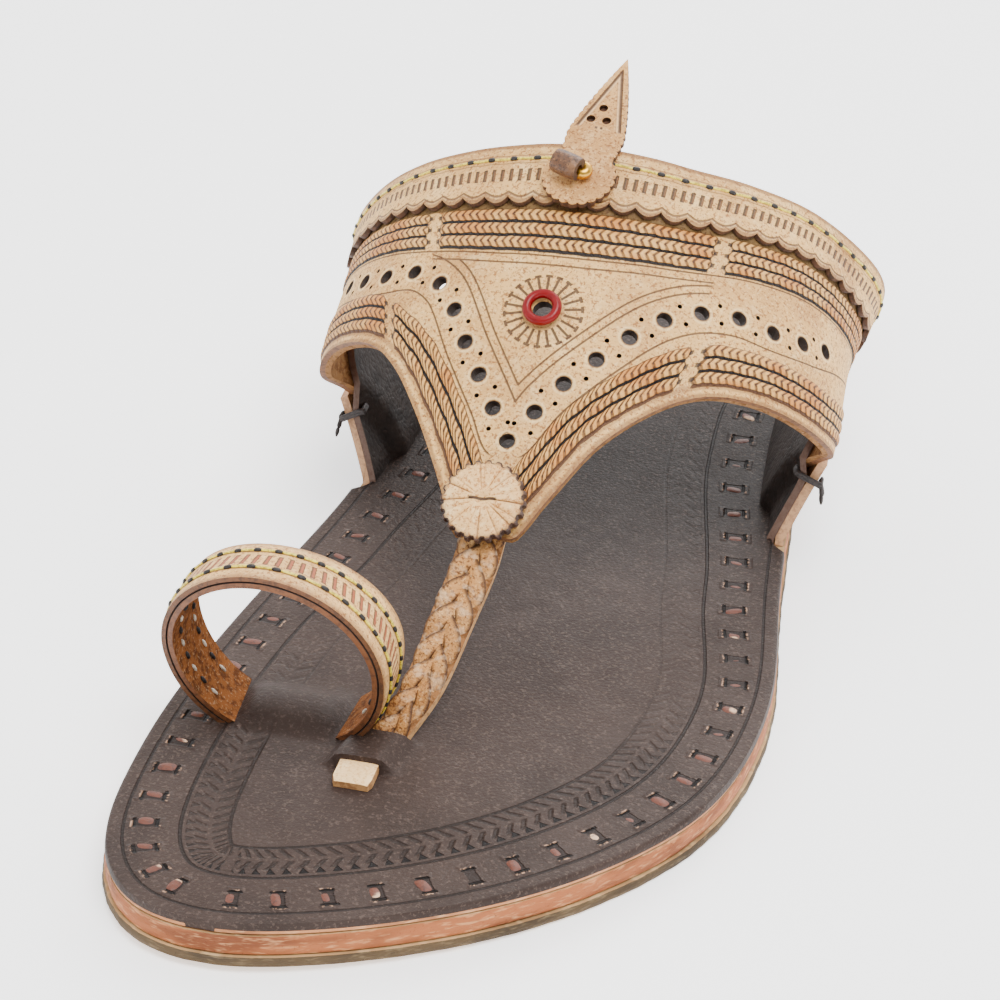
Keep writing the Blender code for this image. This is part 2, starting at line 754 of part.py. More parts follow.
def thong_shape():
    """Braided thong from inside the V's point down to the insole."""
    half = BALL_WIDTH / 2
    middle = np.array([(row[1] * half, along(row[0]), row[2] * INSTEP_HEIGHT)
                       for row in THONG_LINE])
    foot_level = float(insole_top(middle[-1][1])) + FIT_GAP
    knots = np.concatenate([[0], np.cumsum(np.linalg.norm(np.diff(middle, axis=0), axis=1))])
    steps = int(round(knots[-1] / (PLAIT_PITCH / 4)))
    places = np.linspace(0, knots[-1], steps + 1)
    path = spline(knots, middle, places)
    turn = np.radians(np.interp(places, knots, column(THONG_LINE, 3)))
    ahead = np.gradient(path, axis=0)
    ahead /= np.linalg.norm(ahead, axis=1)[:, None]
    rings = []
    for i, place in enumerate(places):
        sideways = np.array([math.cos(turn[i]), math.sin(turn[i]), 0.0])
        sideways -= ahead[i] * sideways.dot(ahead[i])
        sideways /= np.linalg.norm(sideways)
        outward = np.cross(ahead[i], sideways)
        thin = 0.72 if i < 2 else 1.0
        half_width = THONG_WIDTH / 2 * float(np.interp(place, knots, column(THONG_LINE, 4)))
        ring = []
        for share in (-1.0, -0.72, -0.38, 0.0, 0.38, 0.72, 1.0):
            wave = abs(math.sin(math.pi * (place / PLAIT_PITCH + 0.5 * abs(share))))
            edge = 1.0 - 0.55 * abs(share) ** 4
            height = thin * edge * (THONG_WALL / 2 + PLAIT_RAISE * (wave - 0.5))
            ring.append(path[i] + sideways * share * half_width + outward * height)
        for share in (0.95, 0.0, -0.95):
            ring.append(path[i] + sideways * share * half_width
                        - outward * thin * THONG_WALL / 2)
        rings.append(ring)
    rings.append([point - ahead[-1] * (point[2] - foot_level) / ahead[-1][2]
                  for point in rings[-1]])
    return skin("thong_shape", rings, tan_leather())


def upper():
    """Strap with its V, its three lines of braids, its punched holes and its thong."""
    rows = np.linspace(STRAP_END, 1 - STRAP_END, STRAP_ROWS)
    front = inset_lines(FRONT_EDGE, rows, column(FRONT_COLUMNS, 0), 1)
    back = inset_lines(COLLAR_EDGE, rows, column(TOP_COLUMNS, 0), -1)
    made = skin("upper", [strap_ring(*row) for row in zip(rows, front, back)], tan_leather())
    join_on(made, thong_shape(), "UNION")
    join_on(made, punch("hole_cutters", hole_places(), HOLE_DIAMETER), "DIFFERENCE")
    eyelet = (EYELET_PLACE[0], along(EYELET_PLACE[1]))
    join_on(made, punch("eyelet_cutter", [eyelet], EYELET_BORE, 16), "DIFFERENCE")
    return made


def collar_band():
    """Strip over the collar edge with a scalloped lower edge."""
    fine = np.linspace(BAND_END, 1 - BAND_END, 120)
    line = on_strap(fine, inset_lines(COLLAR_EDGE, fine, [COLLAR_BAND_WIDTH], -1)[:, 0])
    run = np.concatenate([[0], np.cumsum(np.linalg.norm(np.diff(line, axis=0), axis=1))])
    scallops = int(round(run[-1] / SCALLOP_PITCH))
    steps = 3 * scallops
    places = np.interp(np.linspace(0, run[-1], steps + 1), run, fine)
    insets = [0.0, COLLAR_BAND_WIDTH - SCALLOP_DEPTH, COLLAR_BAND_WIDTH]
    lines = inset_lines(COLLAR_EDGE, places, insets, -1)
    low, high = FIT_GAP, FIT_GAP + BAND_WALL
    rings = []
    for i, (across, (top, notch, bottom)) in enumerate(zip(places, lines)):
        bottom = notch if i % 3 == 0 else bottom
        middle = (top + bottom) / 2
        ring = [on_strap(across, y, high) for y in (top, middle, bottom)]
        ring += [on_strap(across, y, low) for y in (bottom, middle, top)]
        rings.append(ring)
    return skin("collar_band", rings, tan_leather())


# Toe loop and the thong's end

def toe_loop():
    """Band that stands over the big toe, leaning forward."""
    x_middle = LOOP_ACROSS * BALL_WIDTH / 2
    y_foot = along(LOOP_ALONG)
    level = float(insole_top(y_foot)) + FIT_GAP
    radius = LOOP_SPAN / 2
    top = LOOP_CREST - LOOP_WAIST_HEIGHT
    below = radius * LOOP_FOOT_SPREAD
    sink = math.asin(min((LOOP_WAIST_HEIGHT - level) / below, 0.99))
    turns = np.linspace(-sink, math.pi + sink, 35)
    path = []
    for turn in turns:
        rise_here = (top if math.sin(turn) > 0 else below) * math.sin(turn)
        z = LOOP_WAIST_HEIGHT + rise_here
        lean = LOOP_LEAN * (z - level) / (LOOP_CREST - level)
        path.append((x_middle - radius * math.cos(turn), y_foot - lean, z))
    path = np.array(path)
    ahead = np.gradient(path, axis=0)
    ahead /= np.linalg.norm(ahead, axis=1)[:, None]
    half, wall = LOOP_WIDTH / 2, LOOP_WALL / 2
    rail = wall + LOOP_RAIL_RAISE
    profile = ((-half, wall), (-0.66 * half, wall), (-0.58 * half, rail), (0.58 * half, rail),
               (0.66 * half, wall), (half, wall), (half, -wall), (-half, -wall))
    rings = []
    for point, tangent in zip(path, ahead):
        width = np.array([0.0, -1.0, math.tan(math.radians(LOOP_TILT)) * abs(tangent[0])])
        width = width - tangent * width.dot(tangent)
        width /= np.linalg.norm(width)
        outward = np.cross(width, tangent)
        rings.append([point + width * w + outward * h for w, h in profile])
    for ring, tangent in ((rings[0], ahead[0]), (rings[-1], ahead[-1])):
        for corner in ring:
            corner -= tangent * ((corner[2] - level) / tangent[2])
    return skin("toe_loop", rings, tan_leather())


def thong_tab():
    """Cut end of the thong that shows in front of the insole's hump."""
    x, y = TAB_PLACE[1] * BALL_WIDTH / 2, along(TAB_PLACE[0])
    low = float(insole_top(y)) + FIT_GAP
    rings = []
    for share, squeeze in ((-0.5, 0.84), (-0.36, 1.0), (0.36, 1.0), (0.5, 0.9)):
        level = y + share * TAB_LENGTH
        half = squeeze * TAB_WIDTH / 2
        high = low + TAB_THICK * (0.7 + 0.3 * squeeze)
        rings.append([(x - half, level, low), (x + half, level, low),
                      (x + half * 0.9, level, high), (x - half * 0.9, level, high)])
    return skin("thong_tab", rings, tan_leather())


# Ornaments

def flat_piece(name, outline, place, lift, wall, finish):
    """Flat cut leather laid on the strap, from its outline in its own plane."""
    origin, right, back, normal = frame_on_strap(*place, lift)
    rings = [[origin + right * u + back * v + normal * height for u, v in outline]
             for height in (0.0, wall)]
    return skin(name, rings, finish)


def toothed_arc(radius, teeth, start, stop):
    """Arc with small rounded teeth, turns in degrees."""
    points = []
    count = max(int(round(teeth * (stop - start) / 360)), 1)
    for i in range(count * 2 + 1):
        turn = math.radians(start + (stop - start) * i / (count * 2))
        reach = radius * (1.0 if i % 2 else 0.93)
        points.append((reach * math.sin(turn), -reach * math.cos(turn)))
    return points


def tip_rosette():
    """Toothed disc over the V's point."""
    outline = toothed_arc(TIP_ROSETTE_DIAMETER / 2, TIP_ROSETTE_TEETH, 0, 360)[:-1]
    place = (TIP_ROSETTE_PLACE[0], along(TIP_ROSETTE_PLACE[1]))
    lift = BRAID_RAISE + 2 * FIT_GAP
    return flat_piece("tip_rosette", outline, place, lift, ROSETTE_WALL, tan_leather())


def crest():
    """Toothed disc on the collar band that runs on past the collar as a pointed leaf."""
    radius = CREST_DIAMETER / 2
    disc = toothed_arc(radius, CREST_TEETH, -128, 128)
    neck_end = radius * 1.30
    leaf_foot = radius * 1.62
    teeth = 9
    right_side = [(disc[-1][0] * 0.78, neck_end)]
    for i in range(2 * teeth):
        share = i / (2 * teeth)
        half = LEAF_WIDTH / 2 * (1 - share) ** 0.86 * (1.0 if i % 2 == 0 else 0.88)
        right_side.append((half, leaf_foot + LEAF_LENGTH * share))
    tip = [(0.0, leaf_foot + LEAF_LENGTH)]
    left_side = [(-u, v) for u, v in reversed(right_side)]
    place = (CREST_PLACE[0], along(CREST_PLACE[1]))
    lift = BAND_WALL + 2 * FIT_GAP
    cos_turn, sin_turn = (f(math.radians(CREST_TURN)) for f in (math.cos, math.sin))
    outline = [(u * cos_turn - v * sin_turn, u * sin_turn + v * cos_turn)
               for u, v in disc + right_side + tip + left_side]
    return flat_piece("crest", outline, place, lift, CREST_WALL, tan_leather())


def crest_top(shift_right=0.0, shift_back=0.0, lift=0.0):
    """A place on the crest's disc."""
    place = (CREST_PLACE[0], along(CREST_PLACE[1]))
    height = BAND_WALL + 2 * FIT_GAP + CREST_WALL + lift
    origin, right, back, normal = frame_on_strap(*place, height)
    return origin + right * shift_right + back * shift_back, right, back, normal


def turned(name, centre, right, back, normal, profile, sides, finish):
    """Body turned about a normal, from (radius, height) pairs closed on themselves."""
    rings = []
    for i in range(sides):
        turn = 2 * math.pi * i / sides
        spoke = right * math.cos(turn) + back * math.sin(turn)
        rings.append([centre + spoke * radius + normal * height for radius, height in profile])
    return skin(name, rings, finish, ring_shaped=True)


def tube_profile(middle_radius, tube_radius, sides):
    turns = np.arange(sides) * 2 * math.pi / sides
    return [(middle_radius + tube_radius * math.cos(t), tube_radius * (1 + math.sin(t)))
            for t in turns]


def eyelet_ring():
    place = (EYELET_PLACE[0], along(EYELET_PLACE[1]))
    frame = frame_on_strap(*place, 2 * FIT_GAP)
    middle = EYELET_BORE / 2 + EYELET_TUBE / 2 + FIT_GAP
    profile = tube_profile(middle, EYELET_TUBE / 2, 8)
    red = material("red_enamel", (0.55, 0.02, 0.035), 0.30)
    return turned("eyelet_ring", *frame, profile, 20, red)


def brass_bead():
    frame = crest_top(shift_right=BEAD_DIAMETER * 0.2, lift=FIT_GAP)
    tube = BEAD_DIAMETER * 0.3
    profile = tube_profile(BEAD_DIAMETER / 2 - tube, tube * 0.93, 8)
    brass = material("brass", (0.75, 0.52, 0.18), 0.25, 1.0)
    return turned("brass_bead", *frame, profile, 14, brass)


def roll():
    """Curled strip of leather that holds the bead on."""
    lift = FIT_GAP * 2 + BEAD_DIAMETER * 0.56
    centre, right, back, normal = crest_top(-ROLL_WIDTH * 0.24, BEAD_DIAMETER * 0.3, lift)
    radius, wall = ROLL_DIAMETER / 2, ROLL_DIAMETER * 0.24
    turns = np.radians(np.linspace(-60, 235, 15))
    loop = [(math.cos(t), 1 + math.sin(t)) for t in turns]
    outer = [(u * radius, v * radius) for u, v in loop]
    inner = [(u * (radius - wall), radius + (v - 1) * (radius - wall)) for u, v in loop]
    axis = right * 0.93 - back * 0.37
    up_axis = np.cross(normal, axis)
    rings = []
    for end in (-0.5, 0.5):
        base = centre + axis * end * ROLL_WIDTH
        rings.append([base + up_axis * u + normal * v for u, v in outer + inner[::-1]])
    return skin("roll", rings, tan_leather())


def ties():
    """Dark lace round the front edges of each ear and wing."""
    finish = material("dark_lace", (0.045, 0.035, 0.035), 0.70)
    across = EAR_HEIGHT_SHARE * 0.8
    share = 0.8
    front = along(EAR_FRONT_FOOT + (EAR_FRONT_TOP - EAR_FRONT_FOOT) * share)
    wing_share = across / WING_HEIGHT_SHARE
    wing_front = along(WING_FRONT_FOOT + (WING_FRONT_TOP - WING_FRONT_FOOT) * wing_share)
    bridge = min(front, wing_front) - FIT_GAP * 2 - TIE_WIDTH / 2
    back = bridge + 0.0065
    outside = FIT_GAP * 2 + EAR_WALL + TIE_WIDTH / 2
    inside = -(STRAP_WALL + WING_WALL + FIT_GAP * 3 + TIE_WIDTH / 2)
    half = TIE_WIDTH / 2
    route = ((back, outside, 0, 1), (bridge, outside, -1, 1), (bridge, inside, -1, -1),
             (back, inside, 0, -1))
    for side, word in ((-1, "medial"), (1, "lateral")):
        place = across if side < 0 else 1 - across
        width = 0.0038
        rings = []
        for y, lift, ahead, out in route:
            corner = []
            for sign in (-1, 1):
                for edge in (-1, 1):
                    step = sign * edge
                    corner.append(on_strap(place + width * step, y + sign * ahead * half,
                                           lift + sign * out * half))
            rings.append(corner)
        skin("tie_" + word, rings, finish)


def seat_at_origin():
    """Put the middle of the shoe's base at the origin."""
    bpy.context.view_layer.update()
    graph = bpy.context.evaluated_depsgraph_get()
    low, high = Vector((1e9,) * 3), Vector((-1e9,) * 3)
    for made in bpy.data.objects:
        if made.hide_render:
            continue
        for corner in made.evaluated_get(graph).data.vertices:
            for i in range(3):
                low[i] = min(low[i], corner.co[i])
                high[i] = max(high[i], corner.co[i])
    shift = Vector((-(low.x + high.x) / 2, -(low.y + high.y) / 2, -low.z))
    for made in bpy.data.objects:
        made.location = shift
    bpy.context.view_layer.update()


def main():
    for old in list(bpy.data.objects):
        bpy.data.objects.remove(old, do_unlink=True)
    outsole()
    midsole()
    heel_lift()
    heel_block()
    insole()
    ears()
    upper()
    collar_band()
    toe_loop()
    thong_tab()
    tip_rosette()
    crest()
    eyelet_ring()
    brass_bead()
    roll()
    ties()
    seat_at_origin()


main()
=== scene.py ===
"""Looks of the left kolhapuri sandal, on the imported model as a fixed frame.

The shapes repeat the part's own surfaces, finer: across runs from 0 at the medial foot edge
to 1 at the lateral one, along is a share of the insole length from the toe. Fields that end
in _mm are distances in millimetres that the materials draw their lines and stitches from.
"""
import math

import bpy
import numpy as np
from mathutils import Matrix, Vector
from mathutils.kdtree import KDTree


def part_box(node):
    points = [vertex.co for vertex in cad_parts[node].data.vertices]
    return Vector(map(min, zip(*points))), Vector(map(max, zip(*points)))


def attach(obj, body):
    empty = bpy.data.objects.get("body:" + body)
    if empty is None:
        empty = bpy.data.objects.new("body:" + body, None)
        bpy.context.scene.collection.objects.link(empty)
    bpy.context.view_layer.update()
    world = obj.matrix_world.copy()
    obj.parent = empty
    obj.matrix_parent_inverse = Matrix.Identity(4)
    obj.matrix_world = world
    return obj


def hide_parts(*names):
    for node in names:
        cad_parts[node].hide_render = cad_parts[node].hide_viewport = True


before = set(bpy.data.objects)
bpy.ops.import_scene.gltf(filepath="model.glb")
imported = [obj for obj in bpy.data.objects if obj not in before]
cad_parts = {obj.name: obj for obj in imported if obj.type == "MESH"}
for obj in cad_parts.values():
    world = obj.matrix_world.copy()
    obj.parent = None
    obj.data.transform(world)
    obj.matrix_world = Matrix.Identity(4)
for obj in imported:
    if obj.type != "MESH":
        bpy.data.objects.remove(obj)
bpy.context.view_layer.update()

# Driving sizes, metres, as in the part
INSOLE_LENGTH = 0.280
BALL_WIDTH = 0.1004
INSTEP_HEIGHT = 0.0900
HEEL_RISE = 0.0083
TOE_SPRING = 0.0014
FIT_GAP = 0.0003
INSOLE_THICK = 0.0020
MIDSOLE_THICK = 0.0035
OUTSOLE_THICK = 0.0018
HEEL_LIFT_THICK = 0.0020
STRAP_WALL = 0.0022
WING_WALL = 0.0018
EAR_WALL = 0.0018
BAND_WALL = 0.0010
ROSETTE_WALL = 0.0018
CREST_WALL = 0.0012
LOOP_WALL = 0.0020
THONG_WALL = 0.0028

# Sole
SOLE_STATIONS = 220
OUTSOLE_MARGIN = 0.0008
MIDSOLE_MARGIN = 0.0003
HEEL_BREAST_ALONG = 0.655
HEEL_TUCK = 0.0070
HEEL_TUCK_LENGTH = 0.034
SHANK_START_ALONG = 0.430
SHANK_LENGTH = 0.110
FLAT_START_ALONG = 0.200
STRAP_INSET = 0.0023

# Strap decoration
BRAID_PITCH = 0.0031
BRAID_RAISE = 0.00045
FRONT_BRAID_INSET = 0.0025
TOP_BRAID_INSET = 0.0146
BRAID_COUNT = 3
HOLE_OPENING = 0.0029
HOLE_PITCH = 0.00745
MEDIAL_HOLES = 9
LATERAL_HOLES = 10
PINHOLE_DIAMETER = 0.0009
PINHOLE_OFFSET = 0.0018
COLLAR_BAND_WIDTH = 0.0142
SCALLOP_PITCH = 0.0047
SCALLOP_DEPTH = 0.0017
SIDE_SQUEEZE = 0.83
SQUEEZE_REACH = 0.27
DECORATION_REACH = 0.062
EYELET_BORE = 0.0038
EYELET_TUBE = 0.0017

# Ears, wings, loop, thong and ornaments
EAR_HEIGHT_SHARE = 0.080
WING_HEIGHT_SHARE = 0.128
EAR_BACK_GAIN = 1.15
TIE_WIDTH = 0.0012
LOOP_WIDTH = 0.0128
LOOP_SPAN = 0.0354
LOOP_CREST = 0.0447
LOOP_LEAN = 0.0130
LOOP_TILT = 6.0
LOOP_FOOT_SPREAD = 1.26
THONG_WIDTH = 0.0088
TAB_WIDTH = 0.0068
TAB_LENGTH = 0.0078
TAB_THICK = 0.0016
TIP_ROSETTE_DIAMETER = 0.0152
TIP_ROSETTE_TEETH = 24
CREST_DIAMETER = 0.0138
CREST_TEETH = 22
CREST_TURN = -8.0
LEAF_LENGTH = 0.0180
LEAF_WIDTH = 0.0123
BEAD_DIAMETER = 0.0040
ROLL_DIAMETER = 0.0046
ROLL_WIDTH = 0.0052

# Stitches and laces
THREAD_RADIUS = 0.00026
KNOT_PITCH = 0.0047
LACE_PITCH = 0.0082
LACE_INSET = 0.0061
LACE_LENGTH = 0.0036
LACE_WIDTH = 0.0019
COLLAR_STITCH_INSET = 0.0036
LOOP_KNOT_PITCH = 0.0036
TUBE_END = 0.45

# Octaves of noise past this don't show at the size of a photo
FINEST_DETAIL = 2.0


# Sole outline: along is a share of the insole length from the toe tip, medial and lateral
# are shares of half the ball width from the centre line.
SOLE_OUTLINE = (
    # along, medial, lateral
    (0.0107, -0.749, -0.235),
    (0.0357, -0.880, 0.070),
    (0.0714, -0.958, 0.371),
    (0.125, -0.994, 0.673),
    (0.179, -0.998, 0.867),
    (0.250, -0.968, 0.976),
    (0.321, -0.914, 0.996),
    (0.411, -0.831, 0.946),
    (0.500, -0.761, 0.910),
    (0.607, -0.721, 0.880),
    (0.714, -0.703, 0.896),
    (0.804, -0.671, 0.906),
    (0.857, -0.622, 0.857),
    (0.911, -0.536, 0.741),
    (0.957, -0.390, 0.564),
    (0.986, -0.199, 0.365),
)
TOE_TIP_ACROSS = -0.518
HEEL_TIP_ACROSS = 0.100

# Sections of the strap surface: ridge and bulge heights are shares of the instep height,
# medial and lateral reach are shares of half the ball width.
STRAP_SECTIONS = (
    # along, ridge, bulge, medial, lateral
    (0.286, 0.289, 0.167, 0.757, 0.876),
    (0.321, 0.387, 0.189, 0.787, 0.916),
    (0.379, 0.517, 0.233, 0.837, 0.976),
    (0.436, 0.659, 0.289, 0.886, 1.036),
    (0.500, 0.785, 0.344, 0.926, 1.062),
    (0.550, 0.862, 0.389, 0.932, 1.055),
    (0.607, 0.925, 0.422, 0.955, 1.068),
    (0.664, 0.967, 0.467, 0.992, 1.113),
    (0.714, 0.990, 0.489, 1.002, 1.124),
)
RIDGE_ACROSS = 0.040
SECTION_EXPONENT = 1.8
SECTION_ANGLES = (90.0, 62.0, 34.0, 0.0)
FLANK_OUT = 0.55
FLANK_UP = 0.50

# Edges of the strap: across is the share of the way over the instep, along is a share of
# the insole length.
COLLAR_EDGE = (
    # across, along
    (0.04, 0.693),
    (0.1, 0.671),
    (0.16, 0.636),
    (0.2, 0.614),
    (0.25, 0.593),
    (0.315, 0.570),
    (0.375, 0.555),
    (0.44, 0.546),
    (0.51, 0.543),
    (0.578, 0.548),
    (0.65, 0.566),
    (0.72, 0.593),
    (0.78, 0.618),
    (0.84, 0.646),
    (0.9, 0.671),
    (0.96, 0.693),
)
FRONT_EDGE = (
    # across, along
    (0.04, 0.532),
    (0.09, 0.514),
    (0.13, 0.489),
    (0.18, 0.470),
    (0.225, 0.452),
    (0.269, 0.432),
    (0.297, 0.411),
    (0.325, 0.382),
    (0.356, 0.350),
    (0.384, 0.325),
    (0.41, 0.307),
    (0.5, 0.307),
    (0.541, 0.332),
    (0.581, 0.366),
    (0.619, 0.389),
    (0.655, 0.407),
    (0.684, 0.418),
    (0.728, 0.430),
    (0.784, 0.445),
    (0.831, 0.461),
    (0.87, 0.480),
    (0.91, 0.507),
    (0.96, 0.532),
)
# The line of large punched holes, from the V's point up each side
HOLE_LINE = (
    # across, along
    (0.160, 0.546),
    (0.200, 0.521),
    (0.245, 0.498),
    (0.286, 0.482),
    (0.330, 0.470),
    (0.357, 0.454),
    (0.390, 0.414),
    (0.432, 0.379),
    (0.461, 0.359),
    (0.498, 0.384),
    (0.553, 0.415),
    (0.604, 0.445),
    (0.636, 0.459),
    (0.675, 0.471),
    (0.716, 0.480),
    (0.766, 0.500),
    (0.810, 0.527),
    (0.850, 0.552),
)
TIP_HOLE_ACROSS = 0.461
STRAP_END = 0.04
BRAID_END = 0.105
BAND_END = 0.097
FRONT_BRAID_BREAKS = (0.29, 0.65)
TOP_BRAID_BREAKS = (0.341, 0.641)
EYELET_PLACE = (0.475, 0.432)
TIP_ROSETTE_PLACE = (0.450, 0.322)
CREST_PLACE = (0.490, 0.5165)

# Ears and wings, as shares of the insole length at their foot and at their top edge
EAR_FRONT_FOOT, EAR_FRONT_TOP = 0.493, 0.516
EAR_BACK_FOOT, EAR_BACK_TOP = 0.693, 0.679
WING_FRONT_FOOT, WING_FRONT_TOP = 0.497, 0.529
WING_BACK_FOOT, WING_BACK_TOP = 0.690, 0.650
EAR_SEAT_EASE = 0.016

# The thong's middle line: across is a share of half the ball width, height a share of the
# instep height, turn the yaw of its width in degrees, width a share of the thong's width.
THONG_LINE = (
    # along, across, height, turn, width
    (0.3250, -0.052, 0.370, 7.0, 1.00),
    (0.3036, -0.058, 0.313, 6.0, 1.00),
    (0.2643, -0.100, 0.229, -4.0, 0.97),
    (0.2250, -0.146, 0.151, -14.0, 0.88),
    (0.2043, -0.196, 0.109, -22.0, 0.80),
)
LOOP_ALONG = 0.209
LOOP_ACROSS = -0.562
LOOP_WAIST_HEIGHT = 0.0259
TAB_PLACE = (0.1546, -0.262)


def along(share):
    """Distance down the shoe of a share of the insole length."""
    return (share - 0.5) * INSOLE_LENGTH


def spline(knots, values, at, closed=False):
    """Smooth cubic curve through the values; a closed one repeats its first value last."""
    t = np.asarray(knots, float)
    v = np.asarray(values, float).reshape(len(t), -1)
    count = len(t)
    step = np.diff(t)
    rise = np.diff(v, axis=0) / step[:, None]
    matrix = np.eye(count)
    target = np.zeros_like(v)
    for i in range(1, count - 1):
        matrix[i, i - 1:i + 2] = step[i - 1], 2 * (step[i - 1] + step[i]), step[i]
        target[i] = 6 * (rise[i] - rise[i - 1])
    if closed:
        matrix[0, 0] = 2 * (step[-1] + step[0])
        matrix[0, 1] = step[0]
        matrix[0, -2] = step[-1]
        target[0] = 6 * (rise[0] - rise[-1])
        matrix[-1, 0] = -1
    bend = np.linalg.solve(matrix, target)
    at = np.atleast_1d(np.asarray(at, float))
    i = np.clip(np.searchsorted(t, at, side="right") - 1, 0, count - 2)
    h = step[i][:, None]
    a = (t[i + 1] - at)[:, None] / h
    b = 1 - a
    curve = a * v[i] + b * v[i + 1]
    return curve + ((a ** 3 - a) * bend[i] + (b ** 3 - b) * bend[i + 1]) * h ** 2 / 6


def even_curve(knots, values, at):
    """Curve that never swings past its own points, for the strap's cut edges."""
    t = np.asarray(knots, float)
    v = np.asarray(values, float)
    step = np.diff(t)
    rise = np.diff(v) / step
    slope = np.zeros_like(v)
    slope[0], slope[-1] = rise[0], rise[-1]
    for i in range(1, len(t) - 1):
        if rise[i - 1] * rise[i] > 0:
            near, far = 2 * step[i] + step[i - 1], step[i] + 2 * step[i - 1]
            slope[i] = (near + far) / (near / rise[i - 1] + far / rise[i])
    at = np.asarray(at, float)
    i = np.clip(np.searchsorted(t, at, side="right") - 1, 0, len(t) - 2)
    u = (at - t[i]) / step[i]
    ends = (2 * u ** 3 - 3 * u ** 2 + 1) * v[i] + (3 * u ** 2 - 2 * u ** 3) * v[i + 1]
    tangents = (u ** 3 - 2 * u ** 2 + u) * slope[i] + (u ** 3 - u ** 2) * slope[i + 1]
    return ends + tangents * step[i]


def ease(value):
    """Smooth step from 0 to 1."""
    value = np.clip(value, 0.0, 1.0)
    return value * value * (3 - 2 * value)


def column(table, index):
    return [row[index] for row in table]


def unit(directions):
    """The same directions at length 1."""
    return directions / np.linalg.norm(directions, axis=-1, keepdims=True)


def line_run(points):
    """Distance along a line of points, from its first."""
    return np.concatenate([[0], np.cumsum(np.linalg.norm(np.diff(points, axis=0), axis=1))])


# The sole's side view and outline

def rise(y):
    """How far the sole's layers lift off the floor, at the shank, heel and toe."""
    heel = HEEL_RISE * ease((y - along(SHANK_START_ALONG)) / SHANK_LENGTH)
    toe_share = np.clip((along(FLAT_START_ALONG) - y) / (FLAT_START_ALONG * INSOLE_LENGTH), 0, 1)
    return heel + TOE_SPRING * toe_share ** 2


def outsole_top(y):
    return rise(y) + OUTSOLE_THICK


def midsole_top(y):
    return outsole_top(y) + FIT_GAP + MIDSOLE_THICK


def insole_top(y):
    return midsole_top(y) + FIT_GAP + INSOLE_THICK


def sole_outline():
    """Closed outline of the insole, points round from the toe tip by the lateral side."""
    half = BALL_WIDTH / 2
    toe = [(TOE_TIP_ACROSS * half, along(0.0))]
    heel = [(HEEL_TIP_ACROSS * half, along(1.0))]
    lateral = [(row[2] * half, along(row[0])) for row in SOLE_OUTLINE]
    medial = [(row[1] * half, along(row[0])) for row in reversed(SOLE_OUTLINE)]
    points = np.array(toe + lateral + heel + medial + toe)
    knots = line_run(points)
    return spline(knots, points, np.linspace(0, knots[-1], 721), closed=True)[:-1]


OUTLINE = sole_outline()


def grown_outline(margin):
    """The outline moved outwards by a margin."""
    ahead = unit(np.roll(OUTLINE, -1, axis=0) - np.roll(OUTLINE, 1, axis=0))
    return OUTLINE + margin * np.stack([ahead[:, 1], -ahead[:, 0]], axis=1)


def sole_edges(margin, stations):
    """Medial and lateral X of the grown outline at each station of Y."""
    points = grown_outline(margin)
    toe, heel = int(np.argmin(points[:, 1])), int(np.argmax(points[:, 1]))
    points = np.roll(points, -toe, axis=0)
    heel = (heel - toe) % len(points)
    lateral = points[:heel + 1]
    medial = np.vstack([points[heel:], points[:1]])[::-1]
    return [np.interp(stations, side[:, 1], side[:, 0]) for side in (medial, lateral)]


def sole_stations(margin, first_along=None, last_along=None, count=SOLE_STATIONS):
    """Stations down the sole, closer together round an end that is not cut off."""
    points = grown_outline(margin)
    trim = 0.0001
    start = points[:, 1].min() + trim if first_along is None else along(first_along)
    stop = points[:, 1].max() - trim if last_along is None else along(last_along)
    turn_from = math.pi / 2 if first_along is not None else 0.0
    turn_to = math.pi / 2 if last_along is not None else math.pi
    turn = -np.cos(np.linspace(turn_from, turn_to, count))
    share = (turn - turn[0]) / (turn[-1] - turn[0])
    return start + share * (stop - start)


# The strap's surface

def strap_section(y, samples):
    """One cross section of the strap's outer face, from medial to lateral foot."""
    half = BALL_WIDTH / 2
    places = [along(row[0]) for row in STRAP_SECTIONS]
    heights = [spline(places, column(STRAP_SECTIONS, i), y)[0, 0] for i in (1, 2)]
    reaches = [spline(places, column(STRAP_SECTIONS, i), y)[0, 0] for i in (3, 4)]
    ridge, bulge = (INSTEP_HEIGHT * share for share in heights)
    medial, lateral = (half * share for share in reaches)
    foot_medial, foot_lateral = (float(x[0]) for x in sole_edges(-STRAP_INSET, [y]))
    foot_height = float(insole_top(y))
    middle = RIDGE_ACROSS * half
    points = []
    for side, foot, reach in ((-1, -foot_medial, medial), (1, foot_lateral, lateral)):
        power = 2 / SECTION_EXPONENT
        half_side = [
            (side * foot, foot_height),
            (side * (foot + FLANK_OUT * (reach - foot)),
             foot_height + FLANK_UP * (bulge - foot_height)),
        ]
        for angle in SECTION_ANGLES:
            turn = math.radians(angle)
            out = (reach - side * middle) * abs(math.sin(turn)) ** power
            up = (ridge - bulge) * abs(math.cos(turn)) ** power
            half_side.append((middle + side * out, bulge + up))
        points += half_side if side < 0 else half_side[-2::-1]
    points = np.array(points)
    spans = np.sqrt(np.linalg.norm(np.diff(points, axis=0), axis=1))
    knots = np.concatenate([[0], np.cumsum(spans)])
    dense = spline(knots, points, np.linspace(0, knots[-1], 481))
    length = line_run(dense)
    wanted = np.linspace(0, length[-1], samples)
    return np.stack([np.interp(wanted, length, dense[:, i]) for i in (0, 1)], axis=1)


SURFACE_SAMPLES = 161
SURFACE_STATIONS = np.linspace(along(0.275), along(0.725), 85)
SURFACE = np.array([strap_section(y, SURFACE_SAMPLES) for y in SURFACE_STATIONS])


